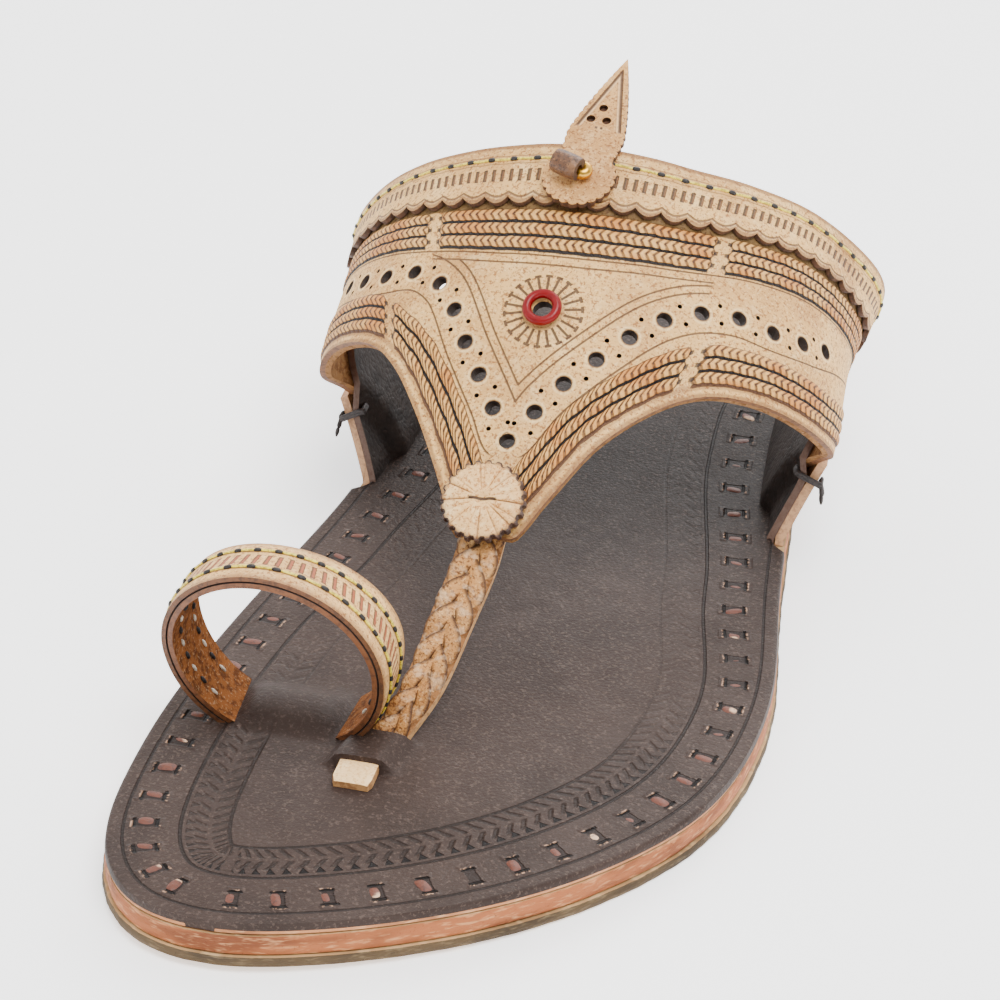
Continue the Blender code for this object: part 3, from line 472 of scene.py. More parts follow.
def surface_point(across, y):
    """Point of the strap's outer face."""
    across, y = np.broadcast_arrays(np.asarray(across, float), np.asarray(y, float))
    row = (y - SURFACE_STATIONS[0]) / (SURFACE_STATIONS[1] - SURFACE_STATIONS[0])
    row = np.clip(row, 0, len(SURFACE_STATIONS) - 1.001)
    cell = np.clip(across, 0, 1) * (SURFACE_SAMPLES - 1.001)
    i, j = row.astype(int), cell.astype(int)
    u, v = (row - i)[..., None], (cell - j)[..., None]
    near = SURFACE[i, j] * (1 - v) + SURFACE[i, j + 1] * v
    far = SURFACE[i + 1, j] * (1 - v) + SURFACE[i + 1, j + 1] * v
    flat = near * (1 - u) + far * u
    return np.stack([flat[..., 0], y, flat[..., 1]], axis=-1)


def surface_slopes(across, y):
    """Change of the surface point with across and with Y."""
    step_across, step_y = 0.008, 0.0020
    d_across = surface_point(across + step_across, y) - surface_point(across - step_across, y)
    d_y = surface_point(across, y + step_y) - surface_point(across, y - step_y)
    return d_across / (2 * step_across), d_y / (2 * step_y)


def on_strap(across, y, lift=0.0):
    """Point at a height over the strap's outer face."""
    across, y = np.broadcast_arrays(np.asarray(across, float), np.asarray(y, float))
    inner = np.clip(across, 0.008, 0.992)
    d_across, d_y = surface_slopes(inner, y)
    normal = unit(np.cross(d_across, d_y))
    return surface_point(across, y) + normal * np.asarray(lift)[..., None]


def edge_y(table, across):
    return along(even_curve(column(table, 0), column(table, 1), across))


def squeeze(across):
    """The decoration lies closer to the strap's edges towards the strap's ends."""
    return 1 - (1 - SIDE_SQUEEZE) * ease(np.abs(across - TIP_HOLE_ACROSS) / SQUEEZE_REACH)


def inset_lines(table, across, distances, direction):
    """Y of lines that run at distances inside one edge of the strap, a row for each place."""
    fine = np.linspace(STRAP_END, 1 - STRAP_END, 480)
    edge = surface_point(fine, edge_y(table, fine))
    reach = np.linspace(0, DECORATION_REACH, 125)
    wanted = np.broadcast_to(distances, (len(across), np.shape(distances)[-1]))
    lines = []
    for place, here in zip(across, wanted):
        y = edge_y(table, place) + direction * reach
        points = surface_point(place, y)
        away = np.linalg.norm(points[:, None] - edge[None], axis=2).min(axis=1)
        away = np.maximum.accumulate(away - away[0]) + reach * 1e-6
        lines.append(np.interp(here * squeeze(place), away, y))
    return np.array(lines)


# Where the part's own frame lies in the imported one

def packed_shift():
    """The part centres its box on the origin: the outsole's side shows by how much."""
    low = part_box("outsole")[0]
    outline = grown_outline(OUTSOLE_MARGIN)
    return np.array([low.x - outline[:, 0].min(), 0.0, 0.0])


SHIFT = packed_shift()


# Making pieces

def finish_piece(name, points, faces, slots, materials, fields, sharp_angle):
    mesh = bpy.data.meshes.new(name)
    mesh.from_pydata((np.asarray(points) + SHIFT).tolist(), [], faces)
    for material in materials:
        mesh.materials.append(material)
    if slots is not None:
        mesh.polygons.foreach_set("material_index", np.asarray(slots, np.int32))
    for field, values in fields.items():
        made = mesh.attributes.new(field, "FLOAT", "POINT")
        made.data.foreach_set("value", np.asarray(values, np.float32).ravel())
    mesh.validate()
    mesh.shade_smooth()
    mesh.set_sharp_from_angle(angle=math.radians(sharp_angle))
    piece = bpy.data.objects.new(name, mesh)
    bpy.context.collection.objects.link(piece)
    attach(piece, "root")
    return piece


def skin(name, rings, materials, bands=None, fields=None, loop=False, sharp_angle=38,
         cap=None):
    """Closed piece over rows of ring points; bands gives a material for each ring strip."""
    rings = np.asarray(rings, float)
    rows, count = rings.shape[:2]
    index = np.arange(rows * count).reshape(rows, count)
    if signed_volume(rings) < 0:
        index = index[:, ::-1]
        bands = None if bands is None else [bands[(count - 2 - j) % count] for j in range(count)]
    ahead = np.roll(index, -1, axis=0) if loop else index[1:]
    near = index if loop else index[:-1]
    quads = np.stack([near, np.roll(near, -1, axis=1), np.roll(ahead, -1, axis=1), ahead], axis=2)
    faces = quads.reshape(-1, 4).tolist()
    slots = np.tile(np.zeros(count, int) if bands is None else bands, len(near)).tolist()
    if not loop:
        faces += [index[0][::-1].tolist(), index[-1].tolist()]
        slots += [max(slots) if cap is None else cap] * 2
    return finish_piece(name, rings.reshape(-1, 3), faces, slots, materials, fields or {},
                        sharp_angle)


def signed_volume(rings):
    """Sign of the volume that the strips enclose, to tell which way they face."""
    centre = rings.reshape(-1, 3).mean(axis=0)
    a = rings[:-1] - centre
    b = np.roll(rings, -1, axis=1)[:-1] - centre
    c = np.roll(rings, -1, axis=1)[1:] - centre
    d = rings[1:] - centre
    return float(np.sum(np.cross(a, b) * c) + np.sum(np.cross(a, c) * d))


def tubes(name, paths, radius, material, sides=6):
    """Round threads along many short paths, joined in one piece."""
    points, faces = [], []
    for path in paths:
        path = np.asarray(path, float)
        ahead = np.gradient(path, axis=0)
        ahead /= np.linalg.norm(ahead, axis=1)[:, None] + 1e-12
        helper = np.where(np.abs(ahead[:, 2:3]) > 0.9, [[1.0, 0, 0]], [[0, 0, 1.0]])
        side = unit(np.cross(ahead, helper))
        other = np.cross(ahead, side)
        base = len(points)
        for i, point in enumerate(path):
            squeeze_end = TUBE_END if i in (0, len(path) - 1) else 1.0
            for k in range(sides):
                turn = 2 * math.pi * k / sides
                points.append(point + squeeze_end * radius
                              * (side[i] * math.cos(turn) + other[i] * math.sin(turn)))
        for i in range(len(path) - 1):
            for k in range(sides):
                a, b = base + i * sides + k, base + i * sides + (k + 1) % sides
                faces.append((a, b, b + sides, a + sides))
        faces.append(tuple(base + k for k in range(sides))[::-1])
        faces.append(tuple(base + (len(path) - 1) * sides + k for k in range(sides)))
    return finish_piece(name, points, faces, None, [material], {}, 60)


def dress(piece, slot, *nodes):
    """Hide the part's nodes that the piece stands for."""
    if nodes:
        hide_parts(*nodes)
    return piece


# Making materials

class Value:
    """Number that a material's nodes work out, written with the signs of arithmetic."""

    def __init__(self, made, socket):
        self.made, self.socket = made, socket

    def __add__(self, other):
        return self.made.math("ADD", self, other)

    def __sub__(self, other):
        return self.made.math("SUBTRACT", self, other)

    def __rsub__(self, other):
        return self.made.math("SUBTRACT", other, self)

    def __mul__(self, other):
        return self.made.math("MULTIPLY", self, other)

    def __truediv__(self, other):
        return self.made.math("DIVIDE", self, other)

    def __pow__(self, other):
        return self.made.math("POWER", self, other)

    def __abs__(self):
        return self.made.math("ABSOLUTE", self)

    def __and__(self, other):
        return self * other

    def __or__(self, other):
        return self.made.math("MAXIMUM", self, other)

    def part(self):
        """What stands after the point."""
        return self.made.math("FRACT", self)

    def step(self, low, high, to_low=0.0, to_high=1.0):
        """Smooth step between two levels."""
        node = self.made.add("ShaderNodeMapRange", interpolation_type="SMOOTHSTEP")
        for key, level in (("Value", self), ("From Min", low), ("From Max", high),
                           ("To Min", to_low), ("To Max", to_high)):
            self.made.feed(node.inputs[key], level)
        return Value(self.made, node.outputs["Result"])

    def line(self, at, half, soft=0.10):
        """1 within a half width of a level, 0 off it."""
        return abs(self - at).step(half, half + soft, 1.0, 0.0)

    def between(self, low, high, soft=0.2):
        return self.step(low - soft, low) & self.step(high, high + soft, 1.0, 0.0)


class Finish:
    """Node-based material: colour, gloss and relief are built up from masks."""

    def __init__(self, name, colour, roughness):
        self.material = bpy.data.materials.new(name)
        self.material.use_nodes = True
        self.tree = self.material.node_tree
        self.shader = self.tree.nodes["Principled BSDF"]
        self.place = self.add("ShaderNodeTexCoord").outputs["Object"]
        self.colour = self.rgb(colour)
        self.roughness = roughness
        self.relief = None

    def add(self, kind, **settings):
        node = self.tree.nodes.new(kind)
        for key, value in settings.items():
            setattr(node, key, value)
        return node

    def feed(self, socket, value):
        """Join a socket to a value or another socket, or set it to a number."""
        value = value.socket if isinstance(value, Value) else value
        if isinstance(value, bpy.types.NodeSocket):
            self.tree.links.new(value, socket)
        else:
            socket.default_value = value

    def rgb(self, colour):
        node = self.add("ShaderNodeRGB")
        node.outputs[0].default_value = (*[channel(c) for c in colour], 1.0)
        return node.outputs[0]

    def math(self, operation, *values):
        node = self.add("ShaderNodeMath", operation=operation)
        for socket, value in zip(node.inputs, values):
            self.feed(socket, value)
        return Value(self, node.outputs[0])

    def field(self, name):
        return Value(self, self.add("ShaderNodeAttribute", attribute_name=name).outputs["Fac"])

    def noise(self, size, detail=3.0, roughness=0.55, stretch=None):
        """Noise about 0.5 whose features are about size millimetres wide."""
        place = self.place
        if stretch:
            mapping = self.add("ShaderNodeMapping")
            mapping.inputs["Scale"].default_value = stretch
            self.feed(mapping.inputs["Vector"], place)
            place = mapping.outputs[0]
        node = self.add("ShaderNodeTexNoise")
        for key, value in (("Vector", place), ("Scale", 1000.0 / size),
                           ("Detail", min(detail, FINEST_DETAIL)), ("Roughness", roughness)):
            self.feed(node.inputs[key], value)
        return Value(self, node.outputs["Fac"])

    def cells(self, size):
        """Pebbled pattern, low in the middle of each gap between cells."""
        node = self.add("ShaderNodeTexVoronoi", feature="F1")
        self.feed(node.inputs["Vector"], self.place)
        node.inputs["Scale"].default_value = 1000.0 / size
        return Value(self, node.outputs["Distance"]) * -0.55 + 0.42

    def paint(self, mask, colour, strength=1.0):
        """Blend a colour in where the mask is 1."""
        node = self.add("ShaderNodeMix", data_type="RGBA")
        self.feed(node.inputs["Factor"], mask * strength)
        self.feed(node.inputs["A"], self.colour)
        self.feed(node.inputs["B"], self.rgb(colour))
        self.colour = node.outputs["Result"]

    def fleck(self, noise, low, high, colour, strength):
        """Colour in the spots where a noise is high."""
        self.paint(self.noise(*noise).step(low, high), colour, strength)

    def raise_by(self, mask, millimetres):
        """Add relief to the bump."""
        part = mask * millimetres
        self.relief = part if self.relief is None else self.relief + part

    def gloss(self, mask, change):
        self.roughness = mask * change + self.roughness

    def done(self, **shader_values):
        self.feed(self.shader.inputs["Base Color"], self.colour)
        self.feed(self.shader.inputs["Roughness"], self.roughness)
        if self.relief is not None:
            bump = self.add("ShaderNodeBump")
            bump.inputs["Distance"].default_value = 0.001
            bump.inputs["Strength"].default_value = 1.0
            self.feed(bump.inputs["Height"], self.relief)
            self.feed(self.shader.inputs["Normal"], bump.outputs["Normal"])
        for socket, value in shader_values.items():
            self.shader.inputs[socket.replace("_", " ")].default_value = value
        return self.material


def channel(value):
    """Linear level of a display level from 0 to 255."""
    value /= 255.0
    return value / 12.92 if value <= 0.04045 else ((value + 0.055) / 1.055) ** 2.4


def leather(name, colour, dark, pale, roughness=0.55, grain=0.035, mottle=0.5):
    """Plain vegetable-tanned leather, the ground that the other finishes add to."""
    made = Finish(name, colour, roughness)
    made.fleck((22, 4), 0.42, 0.72, dark, mottle)
    made.fleck((5, 5, 0.65), 0.50, 0.75, pale, mottle * 0.8)
    made.fleck((1.2, 3, 0.6), 0.52, 0.80, dark, mottle * 0.55)
    made.fleck((0.65, 3, 0.8), 0.50, 0.64, dark, min(mottle * 1.8, 1.0))
    made.fleck((0.7, 2, 0.7), 0.54, 0.70, pale, mottle * 0.8)
    made.raise_by(made.cells(0.9).step(0.02, 0.16), grain)
    made.raise_by(made.noise(0.5, 3, 0.7), grain * 2.6)
    made.raise_by(made.noise(9, 3), 0.10)
    made.gloss(made.noise(3, 3), 0.16)
    return made


# Finishes

TAN, TAN_DARK, TAN_PALE = (222, 174, 104), (142, 88, 40), (250, 216, 156)
STRAND_BROWN = (82, 42, 10)
NEAR_BLACK = (26, 21, 20)
RAYS = 22
STAMP_PITCH = 3.1


def scored(made, mask, colour=(74, 42, 20), depth=0.28, strength=0.85):
    """Thin line pressed into the leather."""
    made.paint(mask, colour, strength)
    made.raise_by(mask, -depth)


def braids(made, inset, run, apart, first, lines):
    """Rows of plaited strands with a black line under each, along one edge of the strap."""
    first, pitch = first * 1000, BRAID_PITCH * 1000
    rows = (inset - first) / pitch
    bow = abs(rows.part() * 2.0 - 1.0)
    past = apart - (bow ** 2.0 * 1.1 + 1.3)
    group = rows.step(-0.02, 0.02) & rows.step(2.98, 3.02, 1.0, 0.0)
    on = past.step(0.0, 0.2) & group
    strand = abs((bow * -0.62 + run / 1.5).part() * 2.0 - 1.0)
    gap = strand.step(0.42, 0.88)
    speck = made.noise(1.1, 3, 0.7).step(0.40, 0.66)
    made.paint(on, (216, 158, 82), 0.6)
    made.paint(on & made.noise(8, 3).step(0.44, 0.60), (186, 106, 32), 0.6)
    made.paint(on & gap & speck, STRAND_BROWN, 0.90)
    made.paint(on & gap, STRAND_BROWN, 0.72)
    made.paint(on & bow.line(0.0, 0.14, 0.16) & strand.step(0.66, 0.92), (58, 30, 16), 0.85)
    made.raise_by(on & (1.0 - gap), 0.24)
    made.paint(on & bow.line(1.0, 0.12, 0.12), (60, 32, 14), 0.75)
    made.paint(past.line(0.0, 0.14, 0.16) & group, (70, 44, 30), 0.75)
    black = None
    for row in lines:
        mark = inset.line(first + row * pitch, made.noise(1.6, 2) * 0.34 + 0.10, 0.13)
        black = mark if black is None else black | mark
    black = black & apart.step(1.6, 1.9)
    made.paint(black, NEAR_BLACK, 0.97)
    made.raise_by(black, -0.30)
    knot = apart.line(1.15, 0.28, 0.25) & bow.line(0.0, 0.22, 0.18)
    scored(made, knot & rows.step(0.0, 0.1) & rows.step(2.9, 3.0, 1.0, 0.0), (46, 32, 26), 0.22)


def eyelet_rays(made):
    """Rays with a short bar at their ends, pressed in round the eyelet."""
    u, v = made.field("ring_u_mm"), made.field("ring_v_mm")
    far = made.math("SQRT", u * u + v * v)
    turn = made.math("ARCTAN2", v, u) * (RAYS / (2 * math.pi))
    off = abs(turn.part() - 0.5) * (far * (2 * math.pi / RAYS))
    ray = off.line(0.0, 0.17, 0.12) & far.between(3.9, 7.1, 0.1)
    bar = far.line(7.1, 0.20, 0.12) & off.line(0.0, 0.55, 0.1)
    scored(made, ray | bar, (66, 40, 22), 0.24, 0.9)
    # Painted shade under the red eyelet ring and round its foot.
    made.paint(far.between(2.4, 3.6, 0.5), (140, 98, 62), 0.45)


def strap_leather():
    made = leather("strap_tan_leather", TAN, TAN_DARK, TAN_PALE)
    top, front, run = made.field("top_mm"), made.field("front_mm"), made.field("run_mm")
    hole, across, rim = made.field("hole_mm"), made.field("across"), made.field("near_hole_mm")
    braids(made, top, run, made.field("top_apart_mm"), TOP_BRAID_INSET, (1, 2, 3))
    braids(made, front, run, made.field("front_apart_mm"), FRONT_BRAID_INSET, (0, 1, 2))
    inside = across.between(0.345, 0.640, 0.004)
    ends = across.between(0.085, 0.915, 0.004)
    scored(made, top.line(24.9, 0.12) & ends | top.line(26.8, 0.12) & inside
           | hole.line(-3.9, 0.11) & ends & made.field("tip_mm").step(-3.4, -2.6)
           | hole.line(4.1, 0.12) & top.step(25.0, 25.1) & inside
           | hole.line(5.7, 0.11) & top.step(26.5, 26.7) & inside)
    # Painted highlight: a pale ring on the bevel round each punched hole.
    made.paint(rim.line(0.45, 0.10, 0.30), TAN_PALE, 0.45)
    made.raise_by(rim.step(-0.1, 0.5), 0.22)
    made.paint(rim.line(0.0, 0.10, 0.16), (84, 50, 28), 0.7)
    eyelet_rays(made)
    made.paint(front.line(0.0, 0.4, 0.6), (116, 72, 36), 0.65)
    # Painted shadow on the strap under the collar band's scalloped edge.
    made.paint(top.between(12.0, 14.5, 0.4), (46, 28, 16), 0.8)
    made.paint(front.between(1.8, 2.6, 0.5), (120, 74, 38), 0.45)
    return made.done(Specular_IOR_Level=0.35)


def suede(name, colour=(150, 108, 68), dark=(108, 72, 42)):
    """Flesh side of the leather."""
    made = Finish(name, colour, 0.9)
    made.fleck((1.6, 4, 0.7), 0.45, 0.62, dark, 0.8)
    made.fleck((0.5, 3), 0.55, 0.75, (186, 150, 112), 0.5)
    made.raise_by(made.noise(0.5, 4, 0.7), 0.18)
    return made.done(Specular_IOR_Level=0.15)


def cut_edge(name, colour=(128, 82, 46), dark=(76, 46, 26)):
    """Burnished cut edge with fibres along it."""
    made = Finish(name, colour, 0.62)
    made.fleck((1.1, 4, 0.7), 0.42, 0.65, dark, 0.7)
    made.raise_by(made.noise(0.4, 4, 0.7), 0.10)
    return made.done()


def slots(made, pitch, soft, bar_height, bar_shade_paint, heart_at, heart_height, heart_paint, depth):
    """Row of short upright slots with a paler heart."""
    place = (made.field("run_mm") / pitch).part()
    bar = place.line(0.5, 0.17, soft) & bar_height
    # The dark bar is painted shade inside each slot.
    made.paint(bar, *bar_shade_paint)
    made.paint(place.line(*heart_at) & heart_height, *heart_paint)
    made.raise_by(bar, -depth)


def band_leather():
    made = leather("band_tan_leather", TAN, TAN_DARK, TAN_PALE)
    down, run = made.field("band_mm"), made.field("run_mm")
    slots(made, 1.74, 0.07, down.between(6.1, 8.9, 0.15), ((50, 28, 12), 0.92),
          (0.60, 0.06, 0.05), down.between(6.5, 8.6, 0.12), ((150, 98, 54), 0.4), 0.30)
    scored(made, down.line(2.7, 0.07, 0.10) | down.line(4.6, 0.06, 0.10), (124, 80, 46), 0.12, 0.6)
    arch = abs(made.math("SINE", run * (math.pi / (SCALLOP_PITCH * 1000))))
    low = arch * 1.1 + 11.6
    scored(made, down.line(low, 0.14, 0.24), (84, 50, 26), 0.30, 0.8)
    made.paint((down - low).step(0.2, 0.9), (104, 64, 34), 0.7)
    made.paint(down.line(0.0, 0.5, 0.7), (112, 68, 34), 0.7)
    return made.done(Specular_IOR_Level=0.35)


def loop_leather():
    made = leather("loop_tan_leather", (228, 180, 112), TAN_DARK, TAN_PALE)
    side = made.field("side_mm")
    slots(made, 1.80, 0.06, side.line(0.1, 1.65, 0.12), ((84, 38, 20), 0.88),
          (0.54, 0.08, 0.05), side.line(0.1, 1.35, 0.12), ((172, 88, 50), 0.7), 0.24)
    scored(made, abs(side).line(3.1, 0.30, 0.30), (110, 66, 32), 0.20, 0.6)
    made.paint(abs(side).step(4.8, 6.3), (110, 64, 30), 0.6)
    return made.done(Specular_IOR_Level=0.35)


def plait_leather():
    made = leather("plait_tan_leather", (190, 134, 74), (104, 60, 26), (240, 198, 140), grain=0.08)
    made.paint(abs(made.field("side_share")).step(0.50, 0.95), (58, 30, 12), 0.9)
    made.fleck((2.2, 4, 0.7), 0.5, 0.7, (222, 188, 150), 0.5)
    return made.done(Specular_IOR_Level=0.35)


def rosette_leather():
    made = leather("rosette_leather", (236, 188, 122), (176, 116, 58), (252, 222, 168))
    u, v = made.field("ring_u_mm"), made.field("ring_v_mm")
    # Painted shade in the rosette's pleats.
    made.paint(made.field("fold").step(0.40, 1.0), (96, 52, 22), 0.9)
    scored(made, v.line(0.0, 0.16, 0.16) & u.line(0.0, 2.2, 0.5), (60, 40, 30), 0.4, 0.95)
    made.paint(made.math("SQRT", u * u + v * v).step(6.4, 7.3), (88, 50, 22), 0.8)
    return made.done(Specular_IOR_Level=0.35)


def crest_leather():
    made = leather("crest_leather", (204, 152, 88), (130, 80, 38), (240, 200, 140))
    u, v = made.field("ring_u_mm"), made.field("ring_v_mm")
    edge = abs(u) - ((v - 11.2) * -0.285 + 4.15)
    scored(made, edge.line(0.0, 0.20, 0.16) & v.between(11.6, 26.0, 0.6), (62, 34, 16), 0.26, 0.9)
    ridge = edge.line(-0.45, 0.16, 0.2) & v.between(11.6, 25.0, 0.6)
    scored(made, ridge, (226, 184, 136), -0.12, 0.6)
    made.paint(v.line(11.6, 0.22, 0.1) & (u.line(-0.5, 0.2, 0.1) | u.line(0.5, 0.2, 0.1)),
               (64, 42, 32), 0.9)
    return made.done(Specular_IOR_Level=0.35)


def footbed_leather():
    """Dark insole leather: scored lines, slits round the laces and a stamped border."""
    made = Finish("footbed_dark_leather", (58, 46, 41), 0.44)
    made.fleck((16, 4), 0.40, 0.70, (46, 36, 32), 0.7)
    # Painted shade: the footbed is darker from the waist back, where the strap shades it.
    made.paint(made.field("back_shade_share"), (36, 28, 25), 0.8)
    made.fleck((0.7, 3, 0.7), 0.52, 0.72, (98, 82, 74), 0.5)
    run, toe = made.field("run_mm"), made.field("toe_share")
    flat = 1.0 - made.field("hump_share")
    free = flat & made.field("seam_mm").step(1.6, 2.4)
    strength = toe * 0.88 + 0.12
    inset = made.field("inset_mm")
    rim_line = inset.line(2.6, 0.12, 0.22)
    inset = inset - made.field("shift_mm")
    inner_line = inset.line(19.6, 0.12, 0.30) & (toe * 0.75 + 0.25)
    scored(made, (rim_line | inset.line(11.7, 0.16, 0.22) | inner_line) & flat, (18, 13, 12), 0.26, 0.7)
    lean = abs(inset - 16.4)
    saw = abs(((lean * 0.9 + run) / STAMP_PITCH).part() * 2.0 - 1.0)
    stamp = saw.step(0.45, 0.90) & inset.between(14.2, 18.9, 0.7) & lean.step(0.2, 0.7)
    scored(made, stamp & free & strength, (22, 16, 14), 0.34, 0.55)
    tip = abs((run / STAMP_PITCH).part() - 0.5)
    wedge = ((inset - 12.6) * 0.20 + tip).step(0.26, 0.34, 1.0, 0.0)
    wedge = wedge & inset.between(12.7, 14.0, 0.12) & free
    made.paint(wedge & toe, (14, 11, 11), 0.95)
    made.raise_by(wedge & strength, -0.40)
    off = abs((run / (LACE_PITCH * 1000)).part() - 0.5) * (LACE_PITCH * 1000)
    ends = abs(inset - LACE_INSET * 1000)
    ragged = made.noise(1.5, 3, 0.7) * 1.6 - 0.8
    # Painted shade in the shallow trough that each lace lies in.
    bed = off.line(0.0, 0.85, 0.3) & ends.step(1.8, 2.1, 1.0, 0.0) & free
    scored(made, bed, (30, 22, 20), 0.28, 0.75)
    tick = ends.line(1.85, 0.22, 0.16) & (off + ragged).step(1.2, 1.5, 1.0, 0.0) & free
    scored(made, tick, (16, 11, 10), 0.45, 0.95)
    torn = ends.line(2.25, 0.08, 0.22) & off.step(1.0, 1.5, 1.0, 0.0)
    made.paint(torn & made.noise(0.9, 3, 0.7).step(0.50, 0.60) & free, (190, 150, 122), 0.75)
    made.raise_by(ends.line(2.4, 0.3, 0.5) & off.step(1.2, 2.0, 1.0, 0.0) & free, 0.16)
    made.raise_by(made.cells(0.75).step(0.0, 0.22), 0.025)
    made.raise_by(made.noise(0.45, 3, 0.7), 0.10)
    made.raise_by(made.noise(14, 3), 0.30)
    made.gloss(made.noise(4, 4), 0.16)
    made.gloss(made.noise(0.5, 2).step(0.5, 0.7), -0.06)
    return made.done(Specular_IOR_Level=0.12)


def dark_hide(name):
    made = Finish(name, (48, 39, 35), 0.46)
    made.fleck((6, 4), 0.42, 0.70, (30, 24, 22), 0.8)
    made.raise_by(made.cells(0.9).step(0.0, 0.22), 0.05)
    made.raise_by(made.noise(5, 3, stretch=(1.0, 0.3, 1.0)), 0.35)
    made.gloss(made.noise(3, 3), 0.15)
    return made.done(Specular_IOR_Level=0.2)


def sole_edge(name, colour, dark, pale, relief=0.12):
    """Cut edge of a sole layer, its fibres lying along the layer."""
    made = Finish(name, colour, 0.72)
    made.fleck((6, 4, 0.6, (0.35, 0.35, 1.6)), 0.42, 0.68, dark, 0.75)
    made.fleck((1.4, 4, 0.7, (0.4, 0.4, 2.0)), 0.50, 0.72, pale, 0.7)
    made.fleck((0.6, 3, 0.7), 0.60, 0.75, dark, 0.5)
    made.raise_by(made.noise(0.8, 4, 0.7, (0.5, 0.5, 1.8)), relief)
    made.raise_by(made.noise(3.5, 3), relief)
    return made.done(Specular_IOR_Level=0.3)


def grey_hide():
    made = Finish("ear_grey_leather", (88, 98, 106), 0.6)
    made.fleck((5, 4, 0.6), 0.45, 0.70, (76, 86, 94), 0.8)
    made.fleck((0.8, 4, 0.7), 0.55, 0.75, (140, 146, 148), 0.5)
    made.raise_by(made.noise(0.8, 4), 0.16)
    return made.done()


def thread(name, colour, dark, roughness=0.5, twist=0.45):
    made = Finish(name, colour, roughness)
    made.fleck((twist, 2), 0.46, 0.6, dark, 0.8)
    made.raise_by(made.noise(twist, 2), 0.10)
    return made.done()


def lace_leather():
    made = Finish("lace_brown_leather", (92, 42, 22), 0.55)
    made.fleck((9, 2), 0.62, 0.66, (210, 172, 138), 0.9)
    made.fleck((0.7, 4, 0.7), 0.5, 0.7, (58, 28, 20), 0.8)
    made.raise_by(made.noise(0.5, 3), 0.10)
    return made.done()


def brass_metal():
    made = Finish("brass", (208, 158, 62), 0.22)
    made.fleck((1.2, 3), 0.5, 0.7, (168, 116, 40), 0.5)
    made.gloss(made.noise(0.8, 3), 0.16)
    return made.done(Metallic=1.0)


def red_enamel():
    made = Finish("red_enamel", (118, 0, 5), 0.36)
    made.fleck((1.4, 3), 0.5, 0.75, (84, 0, 5), 0.6)
    made.raise_by(made.noise(0.9, 2), 0.04)
    return made.done(Specular_IOR_Level=0.25, Coat_Weight=0.06, Coat_Roughness=0.15)


# Sole layers

def wall_profile(low, high, bulge, steps=5):
    """Heights and outward shares of a layer's side, a little rounded at both corners."""
    share = np.linspace(0, 1, steps)
    return low + (high - low) * share, bulge * (np.sin(np.pi * share) ** 0.6 - 1.0)


def layer(name, margin, bottom, top, finishes, slot, bulge, first=None, last=None,
          ease_in=None, count=200):
    """A leather layer of the sole with a slightly rounded, uneven cut side."""
    stations = sole_stations(margin, first, last, count)
    medial, lateral = sole_edges(margin, stations)
    if ease_in is not None:
        medial, lateral = medial + ease_in(stations), lateral - ease_in(stations)
    inner = np.linspace(0, 1, 6)
    rings = []
    for i, (y, left, right) in enumerate(zip(stations, medial, lateral)):
        waver = 0.00004 * math.sin(i * 1.7) + 0.00005 * math.sin(i * 0.61 + 2)
        heights, outs = wall_profile(float(bottom(y)), float(top(y)), bulge)
        room = min(1.0, (right - left) / 0.02)
        outs = (outs + waver) * room
        up = [(left - out, y, z) for z, out in zip(heights, outs)]
        over = [(left + (right - left) * s, y, heights[-1]) for s in inner[1:-1]]
        down = [(right + out, y, z) for z, out in zip(heights[::-1], outs[::-1])]
        back = [(left + (right - left) * s, y, heights[0]) for s in inner[-2:0:-1]]
        rings.append(up + over + down + back)
    bands = [0] * 4 + [1] * 5 + [0] * 4 + [1] * 5
    piece = skin(name, rings, finishes, bands, sharp_angle=50, cap=0)
    return dress(piece, slot, name.replace("_layer", ""))


def sole_layers():
    beige = sole_edge("outsole_edge", (84, 66, 42), (50, 38, 24), (122, 102, 72), 0.18)
    beige_face = sole_edge("outsole_face", (178, 142, 98), (134, 100, 64), (204, 172, 128), 0.08)
    orange = sole_edge("midsole_edge", (162, 94, 52), (96, 46, 20), (206, 148, 100), 0.14)
    layer("outsole_layer", OUTSOLE_MARGIN, rise, outsole_top, [beige, beige_face],
          "sole_leather", 0.0003, last=HEEL_BREAST_ALONG)
    layer("midsole_layer", MIDSOLE_MARGIN, lambda y: outsole_top(y) + FIT_GAP, midsole_top,
          [orange, beige_face], "orange_leather", 0.0003)
    breast = HEEL_BREAST_ALONG + FIT_GAP / INSOLE_LENGTH
    layer("heel_lift_layer", MIDSOLE_MARGIN, lambda y: outsole_top(y) - HEEL_LIFT_THICK,
          outsole_top, [orange, beige_face], "orange_leather", 0.0003, first=breast,
          ease_in=lambda y: 0.4 * heel_tuck(y), count=120)
    layer("heel_block_layer", OUTSOLE_MARGIN, lambda y: 0.0 * y,
          lambda y: outsole_top(y) - HEEL_LIFT_THICK - FIT_GAP, [beige, beige_face],
          "sole_leather", 0.0004, first=breast, ease_in=heel_tuck, count=120)


def heel_tuck(y):
    """How far the heel's layers draw in under the sole towards the breast."""
    share = (y - along(HEEL_BREAST_ALONG)) / HEEL_TUCK_LENGTH
    return HEEL_TUCK * (1 - ease(share))


# Footbed

HALF_WIDTH = BALL_WIDTH / 2
LOOP_HUMP = (LOOP_ACROSS * HALF_WIDTH, along(LOOP_ALONG), 0.0100, 0.0082, 0.0026)
THONG_HUMP = (0.0060, 0.0024, 0.0027)
TAB_COVERED = 0.0024


def hump(x, y, centre_x, centre_y, half_x, half_y, height):
    """Leather pushed up by a strap that passes under it."""
    u = np.clip(np.abs(x - centre_x) / half_x, 0, 1)
    v = np.clip(np.abs(y - centre_y) / half_y, 0, 1)
    return height * (1 - ease(u ** 3)) * (1 - ease(v ** 1.5))


